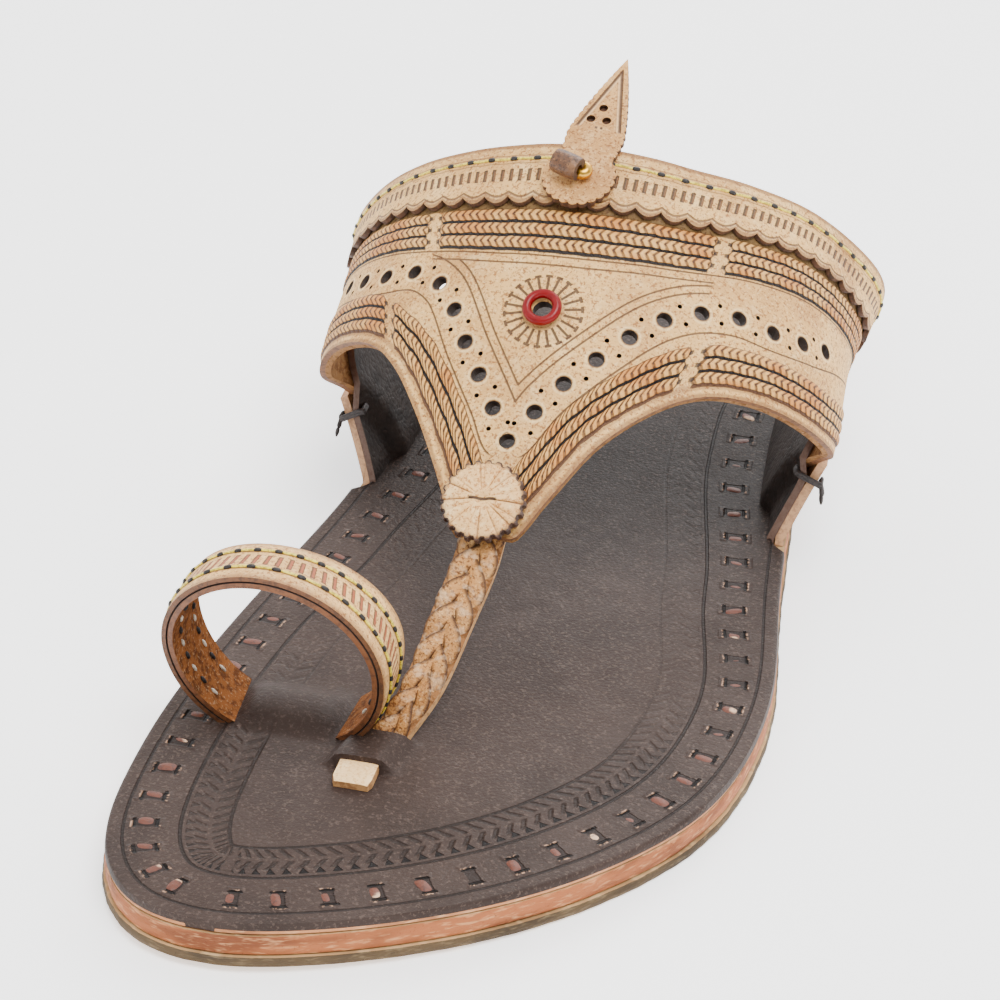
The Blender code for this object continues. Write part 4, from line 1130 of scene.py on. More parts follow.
def footbed_height(x, y):
    tab_back = along(TAB_PLACE[0]) + TAB_LENGTH / 2
    thong_front = along(THONG_LINE[-1][0]) - THONG_WALL
    thong_x = (THONG_LINE[-1][1] + TAB_PLACE[1]) / 2 * HALF_WIDTH
    half_wide, slope, height = THONG_HUMP
    front = tab_back - TAB_COVERED
    middle = np.interp(y, (tab_back, thong_front), (TAB_PLACE[1] * HALF_WIDTH, thong_x))
    across = 1 - ease((np.abs(x - middle) / half_wide) ** 4)
    down = ease((y - front) / 0.0003) * (1 - ease((y - thong_front + slope / 2) / slope))
    return insole_top(y) + hump(x, y, *LOOP_HUMP) + height * across * down


def border_shift(y):
    """How much further in the laces and the border run at the waist than at the toe."""
    share = y / INSOLE_LENGTH + 0.5
    waist = 0.0035 * ease((share - 0.42) / 0.15) * (1 - ease((share - 0.62) / 0.12))
    return 0.0020 * ease((share - 0.28) / 0.12) + waist


def tree_of(points):
    """Points ready to be searched for the nearest."""
    tree = KDTree(len(points))
    for i, point in enumerate(points):
        tree.insert(point, i)
    tree.balance()
    return tree


def outline_fields(points):
    """Inset from the insole's outline and the place along it, for each point."""
    closed = np.vstack([OUTLINE, OUTLINE[:1]])
    run = line_run(closed)
    fine = np.linspace(0, run[-1], 4001)[:-1]
    edge = np.stack([np.interp(fine, run, closed[:, i]) for i in (0, 1)], axis=1)
    tree = tree_of([(x, y, 0.0) for x, y in edge])
    found = [tree.find((x, y, 0.0)) for x, y in points]
    return (np.array([f[2] for f in found]) * 1000, fine[[f[1] for f in found]] * 1000,
            run[-1] * 1000)


def ear_seat(y):
    """How far the insole steps in where the ears stand outside it."""
    ramp = EAR_SEAT_EASE * INSOLE_LENGTH / 2
    front = ease((y - along(EAR_FRONT_FOOT - EAR_SEAT_EASE)) / ramp)
    back = ease((along(EAR_BACK_FOOT + EAR_SEAT_EASE) - y) / ramp)
    return (STRAP_INSET + FIT_GAP) * front * back


def footbed():
    tab_y = along(TAB_PLACE[0])
    stations = np.unique(np.concatenate([sole_stations(0.0, count=300),
                                         np.arange(tab_y - 0.002, tab_y + 0.012, 0.00028)]))
    medial, lateral = sole_edges(0.0, stations)
    medial, lateral = medial + ear_seat(stations), lateral - ear_seat(stations)
    shares = 0.5 - 0.5 * np.cos(np.linspace(0, np.pi, 90))
    shares = 0.6 * shares + 0.4 * np.linspace(0, 1, 90)
    rings = []
    for y, left, right in zip(stations, medial, lateral):
        x = left + (right - left) * shares
        z = footbed_height(x, y)
        room = min(1.0, (right - left) / 0.01)
        low = float(midsole_top(y)) + FIT_GAP
        middle = low + INSOLE_THICK * 0.30
        z[0] = z[-1] = low + INSOLE_THICK * 0.90
        top = list(zip(x, np.full(90, y), z))
        out = 0.0002 * room
        rings.append([(left, y, low), (left - out, y, middle)] + top
                     + [(right + out, y, middle), (right, y, low)])
    rings = np.array(rings)
    inset, run, total = outline_fields(rings[..., :2].reshape(-1, 2))
    toe = ease((along(0.30) - rings[..., 1]) / 0.04) * ease((rings[..., 0] + 0.045) / 0.02)
    near = hump(rings[..., 0], rings[..., 1], LOOP_HUMP[0], LOOP_HUMP[1], 0.0140, 0.0125, 1.0)
    shift = np.broadcast_to(border_shift(rings[..., 1]), rings.shape[:2]) * 1000
    # Share towards the back, for the footbed's painted shade under the strap.
    back = ease((rings[..., 1] - along(0.38)) / 0.05)
    fields = {"inset_mm": inset, "run_mm": run, "toe_share": toe, "hump_share": near,
              "back_shade_share": back, "shift_mm": shift, "seam_mm": np.minimum(run, total - run)}
    tan = sole_edge("footbed_edge", (190, 128, 84), (130, 80, 48), (222, 176, 132), 0.2)
    dark = footbed_leather()
    bands = [1, 0] + [0] * 89 + [0, 1, 1]
    dress(skin("footbed", rings, [dark, tan], bands, fields, sharp_angle=55, cap=0),
          "dark_leather", "insole")


def joined(name, stacks, material, sharp_angle=40):
    """Many small closed skins of the same finish in one piece."""
    points, faces = [], []
    for rings in stacks:
        rings = np.asarray(rings, float)
        rows, count = rings.shape[:2]
        index = np.arange(rows * count).reshape(rows, count) + len(points)
        if signed_volume(rings) < 0:
            index = index[:, ::-1]
        points += rings.reshape(-1, 3).tolist()
        quads = np.stack([index[:-1], np.roll(index, -1, axis=1)[:-1],
                          np.roll(index, -1, axis=1)[1:], index[1:]], axis=2)
        faces += quads.reshape(-1, 4).tolist()
        faces += [index[0][::-1].tolist(), index[-1].tolist()]
    return finish_piece(name, points, faces, None, [material], {}, sharp_angle)


def laces():
    """Short lengths of lace that show between their slits all round the footbed."""
    closed = np.vstack([OUTLINE, OUTLINE[:1]])
    run = line_run(closed)
    rng = np.random.default_rng(7)
    stacks = []
    for place in np.arange(0.5, run[-1] / LACE_PITCH - 0.3) * LACE_PITCH:
        here, nxt = (np.array([np.interp(place + step, run, closed[:, i]) for i in (0, 1)])
                     for step in (-0.0005, 0.0005))
        ahead = unit(nxt - here)
        inward = np.array([-ahead[1], ahead[0]])
        lean = rng.normal(0, 0.10)
        inset = LACE_INSET + float(border_shift(here[1]))
        length = LACE_LENGTH * rng.uniform(0.8, 1.15)
        width = LACE_WIDTH * rng.uniform(0.8, 1.1)
        proud = rng.uniform(-0.00005, 0.00022)
        rings = []
        for share in np.linspace(-1, 1, 9):
            centre = here + inward * (inset + share * length / 2) + ahead * lean * share * 0.003
            level = float(footbed_height(centre[0], centre[1]))
            z = level + proud * (1 - share ** 4) * 1.3 - 0.0004 * share ** 4
            ring = []
            for side, drop in ((-1, 0.0002), (-0.6, 0.0), (0, -0.00004), (0.6, 0.0), (1, 0.0002),
                               (1, 0.0007), (-1, 0.0007)):
                spot = centre + ahead * side * width / 2 * (1 - 0.12 * abs(share))
                ring.append((spot[0], spot[1], z - drop))
            rings.append(ring)
        stacks.append(rings)
    dress(joined("laces", stacks, lace_leather()), "tan_leather")


def closing(across, y, lift):
    """The wing lies against the ear ahead of the strap's edge, and against the strap past it."""
    past = ease((y - edge_y(FRONT_EDGE, np.clip(across, 0.04, 0.96)) + 0.0045) / 0.0045)
    return lift + (STRAP_WALL + FIT_GAP) * (1 - past)


def flap_rings(side, lifts, front, back, height, foot_level, rows=70, steps=11, move=None):
    """Rings of a leaf of leather that stands beside the strap, a little rounded on top."""
    rings = []
    for row in np.linspace(0, 1, rows):
        faces = []
        for lift in lifts:
            face = []
            for share in np.linspace(0, 1, steps):
                start = front[0] + (front[1] - front[0]) * share
                stop = back[0] + (back[1] - back[0]) * share
                y = along(start + (stop - start) * row)
                reach = share * height * (1 + (EAR_BACK_GAIN - 1) * row)
                across = reach if side < 0 else 1 - reach
                face.append(on_strap(across, y, move(across, y, lift) if move else lift))
            foot = face[0].copy()
            foot[2] = foot_level(foot[1])
            faces.append([foot] + face)
        rings.append(faces[0] + faces[1][::-1])
    return rings


def ears_and_wings():
    grey, tan_back = grey_hide(), suede("ear_back", (178, 136, 98), (140, 100, 70))
    pale_edge = cut_edge("ear_edge", (196, 150, 108), (150, 104, 70))
    hide = dark_hide("wing_dark_leather")
    outer = -(STRAP_WALL + FIT_GAP)
    strips = 12
    for side, word in ((-1, "medial"), (1, "lateral")):
        rings = flap_rings(side, (FIT_GAP + EAR_WALL, FIT_GAP), (EAR_FRONT_FOOT, EAR_FRONT_TOP),
                           (EAR_BACK_FOOT, EAR_BACK_TOP), EAR_HEIGHT_SHARE,
                           lambda y: midsole_top(y) + FIT_GAP)
        bands = [0] * (strips - 1) + [2] + [1] * (strips - 1) + [2]
        ear = skin("ear_leaf_" + word, rings, [grey, tan_back, pale_edge], bands, sharp_angle=45)
        dress(ear, "grey_leather", "ear_" + word)
        rings = flap_rings(side, (outer, outer - WING_WALL * 0.8),
                           (WING_FRONT_FOOT - 0.0085, WING_FRONT_TOP - 0.002),
                           (WING_BACK_FOOT, WING_BACK_TOP), WING_HEIGHT_SHARE,
                           lambda y: insole_top(y) - INSOLE_THICK / 2, move=closing)
        bands = [0] * (strips - 1) + [1] + [0] * (strips - 1) + [1]
        wing = skin("wing_leaf_" + word, rings, [hide, cut_edge("wing_edge_" + word, (92, 66, 52))],
                    bands, sharp_angle=45)
        dress(wing, "dark_leather", "insole")


# Strap

def apart_from_breaks(rows, run, breaks):
    """Distance in millimetres to the nearest break or end of a group of braids."""
    stops = [np.abs(run - np.interp(place, rows, run)) for place in breaks]
    stops.append(run - np.interp(BRAID_END, rows, run))
    stops.append(np.interp(1 - BRAID_END, rows, run) - run)
    return np.minimum.reduce(stops) * 1000


def braid_lift(distances, first, apart):
    """Raised half-round profile of three braids beside each other."""
    rows = (distances - first) / BRAID_PITCH
    bow = 2 * (rows - np.floor(rows)) - 1
    inside = (rows > 0.01) & (rows < BRAID_COUNT - 0.01)
    profile = np.where(inside, np.maximum(1 - bow ** 2, 0) ** 0.6, 0.0)
    return BRAID_RAISE * profile[None, :] * ease((apart[:, None] - 1.2) / 1.2)


def hole_places():
    """Punched holes at an even pitch both ways from the hole at the V's point, and between."""
    fine = np.linspace(HOLE_LINE[0][0], HOLE_LINE[-1][0], 400)
    run = line_run(on_strap(fine, edge_y(HOLE_LINE, fine)))
    start = np.interp(TIP_HOLE_ACROSS, fine, run)
    steps = np.arange(-MEDIAL_HOLES, LATERAL_HOLES + 1)
    holes = np.interp(start + steps * HOLE_PITCH, run, fine)
    halfway = np.interp(start + (steps[:-1] + 0.5) * HOLE_PITCH, run, fine)
    return holes, halfway


def frame_on_strap(across, y, lift=0.0):
    """Origin, across, forward-up and normal directions at a place on the strap."""
    origin = on_strap(across, y, lift)
    d_across, d_y = surface_slopes(np.asarray(across), np.asarray(y))
    normal = unit(np.cross(d_across, d_y))
    right = unit(d_across)
    back = np.cross(normal, right)
    return origin, right, back, normal


def cutter(spots, sides=20):
    """Stacks of round punches: (frame, diameter, depth) each."""
    stacks = []
    turns = np.arange(sides) * 2 * math.pi / sides
    for (origin, right, back, normal), diameter, depth in spots:
        rings = []
        for level in (-depth, STRAP_WALL * 2):
            rings.append([origin + normal * level + diameter / 2
                          * (right * math.cos(t) + back * math.sin(t)) for t in turns])
        stacks.append(rings)
    return stacks


def cut_out(piece, stacks, slot):
    """Cut the punches from a piece for good."""
    tool = joined("punches", stacks, piece.data.materials[slot])
    before = piece.data
    tree = tree_of([vertex.co for vertex in before.vertices])
    change = piece.modifiers.new("punch", "BOOLEAN")
    change.operation = "DIFFERENCE"
    change.solver = "EXACT"
    change.material_mode = "TRANSFER"
    change.object = tool
    bpy.context.view_layer.update()
    graph = bpy.context.evaluated_depsgraph_get()
    cut = bpy.data.meshes.new_from_object(piece.evaluated_get(graph))
    piece.modifiers.clear()
    cut.set_sharp_from_angle(angle=math.radians(40))
    near = [tree.find_n(vertex.co, 4) for vertex in cut.vertices]
    picks = np.array([[found[1] for found in row] for row in near])
    weights = np.array([[1 / (found[2] + 1e-7) ** 2 for found in row] for row in near])
    weights /= weights.sum(axis=1)[:, None]
    for made in [a for a in cut.attributes if a.domain == "POINT" and a.data_type == "FLOAT"]:
        values = np.zeros(len(before.vertices), np.float32)
        before.attributes[made.name].data.foreach_get("value", values)
        made.data.foreach_set("value", (values[picks] * weights).sum(axis=1).astype(np.float32))
    piece.data = cut
    bpy.data.objects.remove(tool, do_unlink=True)


# Across, and the share of their full pitch that the front braids have there
BRAID_NARROWING = ((0.0, 0.27, 0.31, 0.46, 0.60, 0.67), (1.0, 1.0, 0.74, 0.62, 0.80, 1.0))


def strap():
    rows = np.linspace(STRAP_END, 1 - STRAP_END, 520)
    grain = np.arange(BRAID_COUNT * 8 + 1) / 8 * BRAID_PITCH
    front_at = np.concatenate([[0, 0.0006, 0.0013, 0.0020], FRONT_BRAID_INSET + grain])
    top_at = np.concatenate([[0, 0.0035, 0.007, 0.0105, 0.0135], TOP_BRAID_INSET + grain])
    coarse = rows[::4] if rows[-1] in rows[::4] else np.append(rows[::4], rows[-1])
    narrow = np.interp(coarse, *BRAID_NARROWING)[:, None]
    nominal = np.broadcast_to(front_at, (len(coarse), len(front_at)))
    grown = FRONT_BRAID_INSET + (nominal - FRONT_BRAID_INSET) * narrow
    front = inset_lines(FRONT_EDGE, coarse, np.where(nominal > FRONT_BRAID_INSET, grown, nominal), 1)
    top = inset_lines(COLLAR_EDGE, coarse, top_at, -1)
    front, top = (np.stack([np.interp(rows, coarse, line[:, j]) for j in range(line.shape[1])],
                           axis=1) for line in (front, top))
    middle_count = 34
    shares = np.linspace(0, 1, middle_count + 2)[1:-1]
    middle = front[:, -1:] + (top[:, -1:] - front[:, -1:]) * shares
    run_front = line_run(on_strap(rows, front[:, 16]))
    run_top = line_run(on_strap(rows, top[:, 17]))
    front_apart = apart_from_breaks(rows, run_front, FRONT_BRAID_BREAKS)
    top_apart = apart_from_breaks(rows, run_top, TOP_BRAID_BREAKS)
    y = np.concatenate([front, middle, top[:, ::-1]], axis=1)
    lift = np.concatenate([braid_lift(front_at, FRONT_BRAID_INSET, front_apart),
                           np.zeros_like(middle),
                           braid_lift(top_at, TOP_BRAID_INSET, top_apart)[:, ::-1]], axis=1)
    across = np.broadcast_to(rows[:, None], y.shape)
    outer = on_strap(across, y, lift)
    lining_y = y[:, -1:] + (y[:, :1] - y[:, -1:]) * np.linspace(0, 1, 16)
    lining_across = np.broadcast_to(rows[:, None], lining_y.shape)
    lining = on_strap(lining_across, lining_y, -STRAP_WALL)
    half_way = -STRAP_WALL * 0.5
    rims = [on_strap(rows, y[:, -1], half_way)[:, None], on_strap(rows, y[:, 0], half_way)[:, None]]
    rings = np.concatenate([outer, rims[0], lining, rims[1]], axis=1)
    count, total = outer.shape[1], rings.shape[1]

    flat = outer.reshape(-1, 3)

    def away_from(line):
        return nearest(flat, line).reshape(y.shape)

    def spread(values, fill=-9.0):
        made = np.full((len(rows), total), fill)
        made[:, :count] = values
        return made

    edge_front = surface_point(rows, edge_y(FRONT_EDGE, rows))
    edge_top = surface_point(rows, edge_y(COLLAR_EDGE, rows))
    squeezed = squeeze(rows)[:, None]
    front_away = away_from(edge_front) / squeezed
    top_away = away_from(edge_top) / squeezed
    front_away = np.maximum(front_away, front_at[-1] + 0.0006)
    front_away[:, :len(front_at)] = front_at
    top_away[:, -len(top_at):] = top_at[::-1]
    fine = np.linspace(HOLE_LINE[0][0] - 0.06, HOLE_LINE[-1][0] + 0.06, 900)
    hole_away = away_from(surface_point(fine, edge_y(HOLE_LINE, fine)))
    side = np.where(y > edge_y(HOLE_LINE, across), 1.0, -1.0)
    holes, halfway = hole_places()
    rim = away_from(on_strap(holes, edge_y(HOLE_LINE, holes))) - HOLE_OPENING / 2
    eyelet = frame_on_strap(EYELET_PLACE[0], along(EYELET_PLACE[1]))
    offset = outer - eyelet[0]
    run = np.concatenate([np.broadcast_to(run_front[:, None], (len(rows), count - len(top_at))),
                          np.broadcast_to(run_top[:, None], (len(rows), len(top_at)))], axis=1)
    tip_place = frame_on_strap(TIP_HOLE_ACROSS, float(edge_y(HOLE_LINE, TIP_HOLE_ACROSS)))
    fields = {"front_mm": spread(front_away * 1000), "top_mm": spread(top_away * 1000),
              "hole_mm": spread(hole_away * side * 1000), "near_hole_mm": spread(rim * 1000),
              "across": spread(across), "run_mm": spread(run * 1000),
              "front_apart_mm": spread(front_apart[:, None]),
              "top_apart_mm": spread(top_apart[:, None]),
              "tip_mm": spread((outer - tip_place[0]) @ tip_place[2] * 1000),
              "ring_u_mm": spread(offset @ eyelet[1] * 1000, 99.0),
              "ring_v_mm": spread(offset @ eyelet[2] * 1000, 99.0)}
    finishes = [strap_leather(), cut_edge("strap_edge"), suede("strap_suede"),
                cut_edge("hole_wall", (58, 44, 36), (32, 25, 22))]
    bands = [0] * (count - 1) + [1, 2] + [2] * 15 + [2, 1]
    piece = skin("strap", rings, finishes, bands, fields, sharp_angle=45)
    spots = [(frame_on_strap(a, float(edge_y(HOLE_LINE, a))), HOLE_OPENING, STRAP_WALL * 2)
             for a in holes]
    for a in halfway:
        origin, right, back, normal = frame_on_strap(a, float(edge_y(HOLE_LINE, a)))
        ahead = on_strap(a + 0.002, edge_y(HOLE_LINE, a + 0.002)) - origin
        sideways = np.cross(normal, unit(ahead))
        for sign in (-1, 1):
            spots.append(((origin + sideways * sign * PINHOLE_OFFSET, right, back, normal),
                          PINHOLE_DIAMETER, STRAP_WALL * 0.6))
    spots.append((eyelet, EYELET_BORE, STRAP_WALL * 2))
    cut_out(piece, cutter(spots), 3)
    dress(piece, "tan_leather", "upper")


def nearest(points, line):
    """Distance from each point to a dense line of points."""
    tree = tree_of(line)
    return np.array([tree.find(point)[2] for point in points])


def thin_out(line, run, start, stop, count):
    """Points at even steps along a part of a line."""
    places = np.linspace(start, stop, count)
    return np.stack([np.interp(places, run, line[:, i]) for i in range(3)], axis=1)


def collar_band():
    """Strip over the collar edge, scalloped below, with slots and a line of stitches."""
    coarse = np.linspace(BAND_END, 1 - BAND_END, 130)
    low_line = on_strap(coarse, inset_lines(COLLAR_EDGE, coarse, [COLLAR_BAND_WIDTH], -1)[:, 0])
    run = line_run(low_line)
    pitch = run[-1] / round(run[-1] / SCALLOP_PITCH)
    place = np.linspace(0, run[-1], 920)
    rows = np.interp(place, run, coarse)
    shares = np.linspace(0, 1, 15)
    table = np.linspace(0, COLLAR_BAND_WIDTH, 15)
    lines = inset_lines(COLLAR_EDGE, coarse, table, -1)
    lines = np.stack([np.interp(rows, coarse, lines[:, j]) for j in range(15)], axis=1)
    reach = COLLAR_BAND_WIDTH - SCALLOP_DEPTH * (1 - np.abs(np.sin(np.pi * place / pitch)) ** 0.7)
    down = reach[:, None] * shares
    y = np.stack([np.interp(d, table, line) for d, line in zip(down, lines)])
    across = np.broadcast_to(rows[:, None], y.shape)
    top = on_strap(across, y, np.full(y.shape, FIT_GAP + BAND_WALL))
    under = on_strap(across, y, np.full(y.shape, FIT_GAP))[:, ::-1]
    rings = np.concatenate([top, under], axis=1)
    nominal = place / pitch * SCALLOP_PITCH * 1000
    fields = {"band_mm": np.concatenate([down, down[:, ::-1]], axis=1) * 1000,
              "run_mm": np.broadcast_to(nominal[:, None], rings.shape[:2])}
    bands = [0] * 14 + [1] * 16
    # The band's cut edge and underside are darkened as painted shadow under the scallops.
    finishes = [band_leather(), cut_edge("band_edge_shaded", (84, 54, 34), (40, 26, 18))]
    dress(skin("collar_strip", rings, finishes, bands, fields), "tan_leather", "collar_band")

    middle = np.array([np.interp(COLLAR_STITCH_INSET, table, line) for line in lines])
    lift = FIT_GAP + BAND_WALL + THREAD_RADIUS * 0.6
    stitches = on_strap(rows, middle, np.full(len(rows), lift))
    run = line_run(stitches)
    gold, knots = [], []
    for i in range(1, int(run[-1] / KNOT_PITCH)):
        start = i * KNOT_PITCH
        gold.append(thin_out(stitches, run, start + 0.0006, start + KNOT_PITCH - 0.0004, 9))
        knots.append(thin_out(stitches, run, start - 0.0007, start + 0.0008, 5))
    return gold, knots


# Toe loop

def loop_path(count=150):
    """Middle line, direction, width and outward directions of the toe loop."""
    x_middle, y_foot = LOOP_ACROSS * HALF_WIDTH, along(LOOP_ALONG)
    level = float(insole_top(y_foot)) + FIT_GAP
    radius = LOOP_SPAN / 2
    top, below = LOOP_CREST - LOOP_WAIST_HEIGHT, LOOP_SPAN / 2 * LOOP_FOOT_SPREAD
    sink = math.asin(min((LOOP_WAIST_HEIGHT - level) / below, 0.99))
    turns = np.linspace(-sink, math.pi + sink, count)
    height = LOOP_WAIST_HEIGHT + np.where(np.sin(turns) > 0, top, below) * np.sin(turns)
    lean = LOOP_LEAN * (height - level) / (LOOP_CREST - level)
    path = np.stack([x_middle - radius * np.cos(turns), y_foot - lean, height], axis=1)
    ahead = unit(np.gradient(path, axis=0))
    tilt = math.tan(math.radians(LOOP_TILT))
    width = np.stack([0 * turns, 0 * turns - 1.0, tilt * np.abs(ahead[:, 0])], axis=1)
    width -= ahead * np.sum(width * ahead, axis=1)[:, None]
    width = unit(width)
    return path, ahead, width, np.cross(width, ahead), level


def toe_loop():
    path, ahead, width, outward, level = loop_path()
    half, wall = LOOP_WIDTH / 2, LOOP_WALL / 2
    face = [(w, wall + 0.00025 * (1 - (w / half) ** 4)) for w in np.linspace(-half, half, 15)]
    groove = [(half, 0.22 * wall), (half - 0.0004, 0.05 * wall), (half, -0.12 * wall)]
    inner = [(w, -wall) for w in np.linspace(half, -half, 9)]
    other = [(-w, h) for w, h in groove[::-1]]
    profile = face + groove + inner + other
    rings = []
    for i in range(len(path)):
        rings.append([path[i] + width[i] * w + outward[i] * h for w, h in profile])
    for i in (0, -1):
        for corner in rings[i]:
            corner -= ahead[i] * ((corner[2] - level) / ahead[i][2])
    rings = np.array(rings)
    run = line_run(path)
    count = len(profile)
    fields = {"side_mm": np.broadcast_to([w * 1000 for w, _ in profile], (len(path), count)),
              "run_mm": np.broadcast_to(run[:, None] * 1000, (len(path), count))}
    finishes = [loop_leather(), cut_edge("loop_edge", (104, 62, 30), (60, 34, 16)),
                cut_edge("loop_groove", (52, 36, 28), (34, 24, 20)),
                cut_edge("loop_lining_edge", (116, 68, 34), (72, 40, 18)),
                suede("loop_suede", (128, 76, 36), (70, 38, 16))]
    bands = [0] * 14 + [1, 2, 2, 3] + [4] * 8 + [3, 2, 2, 1]
    dress(skin("toe_band", rings, finishes, bands, fields, sharp_angle=30), "tan_leather", "toe_loop")
    gold, knots, pale = [], [], []
    for offset in (-0.0031, 0.0031):
        outer_line = path + width * offset + outward * (wall + 0.00022 + THREAD_RADIUS * 0.6)
        inner_line = path + width * offset - outward * (wall + THREAD_RADIUS * 0.4)
        for i in range(1, int(run[-1] / LOOP_KNOT_PITCH) - 1):
            start = i * LOOP_KNOT_PITCH + (0.0012 if offset > 0 else 0.0)
            stop = start + LOOP_KNOT_PITCH
            gold.append(thin_out(outer_line, run, start + 0.0005, stop - 0.0004, 8))
            knots.append(thin_out(outer_line, run, start - 0.0007, start + 0.0007, 5))
            dash = thin_out(inner_line, run, start + 0.0004, start + 0.0022, 5)
            (pale if i % 2 else knots).append(dash)
    return gold, knots, pale


# Thong

def thong_frames(steps=170):
    middle = np.array([(row[1] * HALF_WIDTH, along(row[0]), row[2] * INSTEP_HEIGHT)
                       for row in THONG_LINE])
    knots = line_run(middle)
    places = np.linspace(0, knots[-1], steps + 1)
    path = spline(knots, middle, places)
    turn = np.radians(np.interp(places, knots, column(THONG_LINE, 3)))
    ahead = unit(np.gradient(path, axis=0))
    sideways = np.stack([np.cos(turn), np.sin(turn), 0 * turn], axis=1)
    sideways -= ahead * np.sum(sideways * ahead, axis=1)[:, None]
    sideways = unit(sideways)
    half = THONG_WIDTH / 2 * np.interp(places, knots, column(THONG_LINE, 4)) * 0.90
    extra = np.arange(1, 14)[:, None] * 0.0003
    path = np.vstack([path, path[-1] + ahead[-1] * extra])
    ahead, sideways = (np.vstack([v, np.repeat(v[-1:], 13, axis=0)]) for v in (ahead, sideways))
    half = np.concatenate([half, np.repeat(half[-1], 13)])
    return path, ahead, sideways, np.cross(ahead, sideways), half


def thong():
    """Flat strap with three strands plaited over it."""
    path, ahead, sideways, outward, half = thong_frames()
    foot = float(insole_top(path[-1][1]))
    keep = path[:, 2] > foot - 0.0003
    path, ahead, sideways, outward, half = (v[keep] for v in (path, ahead, sideways, outward, half))
    run = line_run(path)
    wall = THONG_WALL
    base = []
    for i in range(len(path)):
        ring = [path[i] + sideways[i] * s * half[i] + outward[i] * h * wall
                for s, h in ((-1, -0.02), (-0.5, -0.02), (0.5, -0.02), (1, -0.02),
                             (1, -0.5), (0.5, -0.5), (-0.5, -0.5), (-1, -0.5))]
        base.append(ring)
    back = suede("thong_back", (150, 104, 64), (100, 64, 36))
    rim = cut_edge("thong_edge", (206, 158, 106), (150, 102, 60))
    dress(skin("thong_strap", base, [back, rim], [0, 0, 0, 1, 0, 0, 0, 1], sharp_angle=40),
          "tan_leather", "upper")
    period = 0.0168
    leather_finish = plait_leather()
    for k in range(3):
        phase = 2 * math.pi * (run / period + k / 3)
        side = 0.60 * np.sin(phase)
        over = np.sin(2 * phase)
        slope = np.gradient(side * half, run)
        rings, shares = [], []
        for i in range(len(path)):
            centre = path[i] + sideways[i] * side[i] * half[i]
            centre = centre + outward[i] * wall * (0.14 + 0.20 * over[i])
            heading = unit(ahead[i] + sideways[i] * slope[i])
            flat = np.cross(outward[i], heading)
            roll = 0.42 * math.cos(phase[i])
            flat_dir = flat * math.cos(roll) + outward[i] * math.sin(roll)
            up = np.cross(heading, flat_dir)
            ring = []
            for turn in np.arange(14) * 2 * math.pi / 14:
                w, h = math.cos(turn), math.sin(turn)
                bulk = np.sign(h) * abs(h) ** 0.7 * wall * 0.15
                ring.append(centre + flat_dir * w * half[i] * 0.43 + up * bulk)
            rings.append(ring)
            shares.append([math.cos(t) for t in np.arange(14) * 2 * math.pi / 14])
        piece = skin("plait_strand_%d" % (k + 1), rings, [leather_finish],
                     fields={"side_share": shares}, sharp_angle=70)
        dress(piece, "tan_leather", "upper")


def thong_tab():
    x, y = TAB_PLACE[1] * HALF_WIDTH, along(TAB_PLACE[0])
    low = float(insole_top(y)) + FIT_GAP * 0.5
    rings = []
    for share in np.linspace(-0.5, 0.5, 15):
        squeeze_end = 1 - 0.14 * ease((abs(share) - 0.34) / 0.16)
        half = squeeze_end * TAB_WIDTH / 2
        high = low + TAB_THICK * (1 - 0.25 * ease((abs(share) - 0.36) / 0.14))
        ring = [(x + half * w, y + share * TAB_LENGTH, high - TAB_THICK * 0.10 * abs(w) ** 6)
                for w in np.linspace(-0.96, 0.96, 11)]
        ring += [(x + half, y + share * TAB_LENGTH, low + TAB_THICK * 0.5),
                 (x + half, y + share * TAB_LENGTH, low), (x - half, y + share * TAB_LENGTH, low),
                 (x - half, y + share * TAB_LENGTH, low + TAB_THICK * 0.5)]
        rings.append(ring)
    pale = leather("tab_leather", (246, 204, 144), (216, 164, 100), (254, 226, 176))
    rim = cut_edge("tab_edge", (182, 134, 84), (128, 84, 48))
    dress(skin("thong_end", rings, [pale.done(), rim], [0] * 10 + [1] * 5), "tan_leather", "thong_tab")


# Ornaments

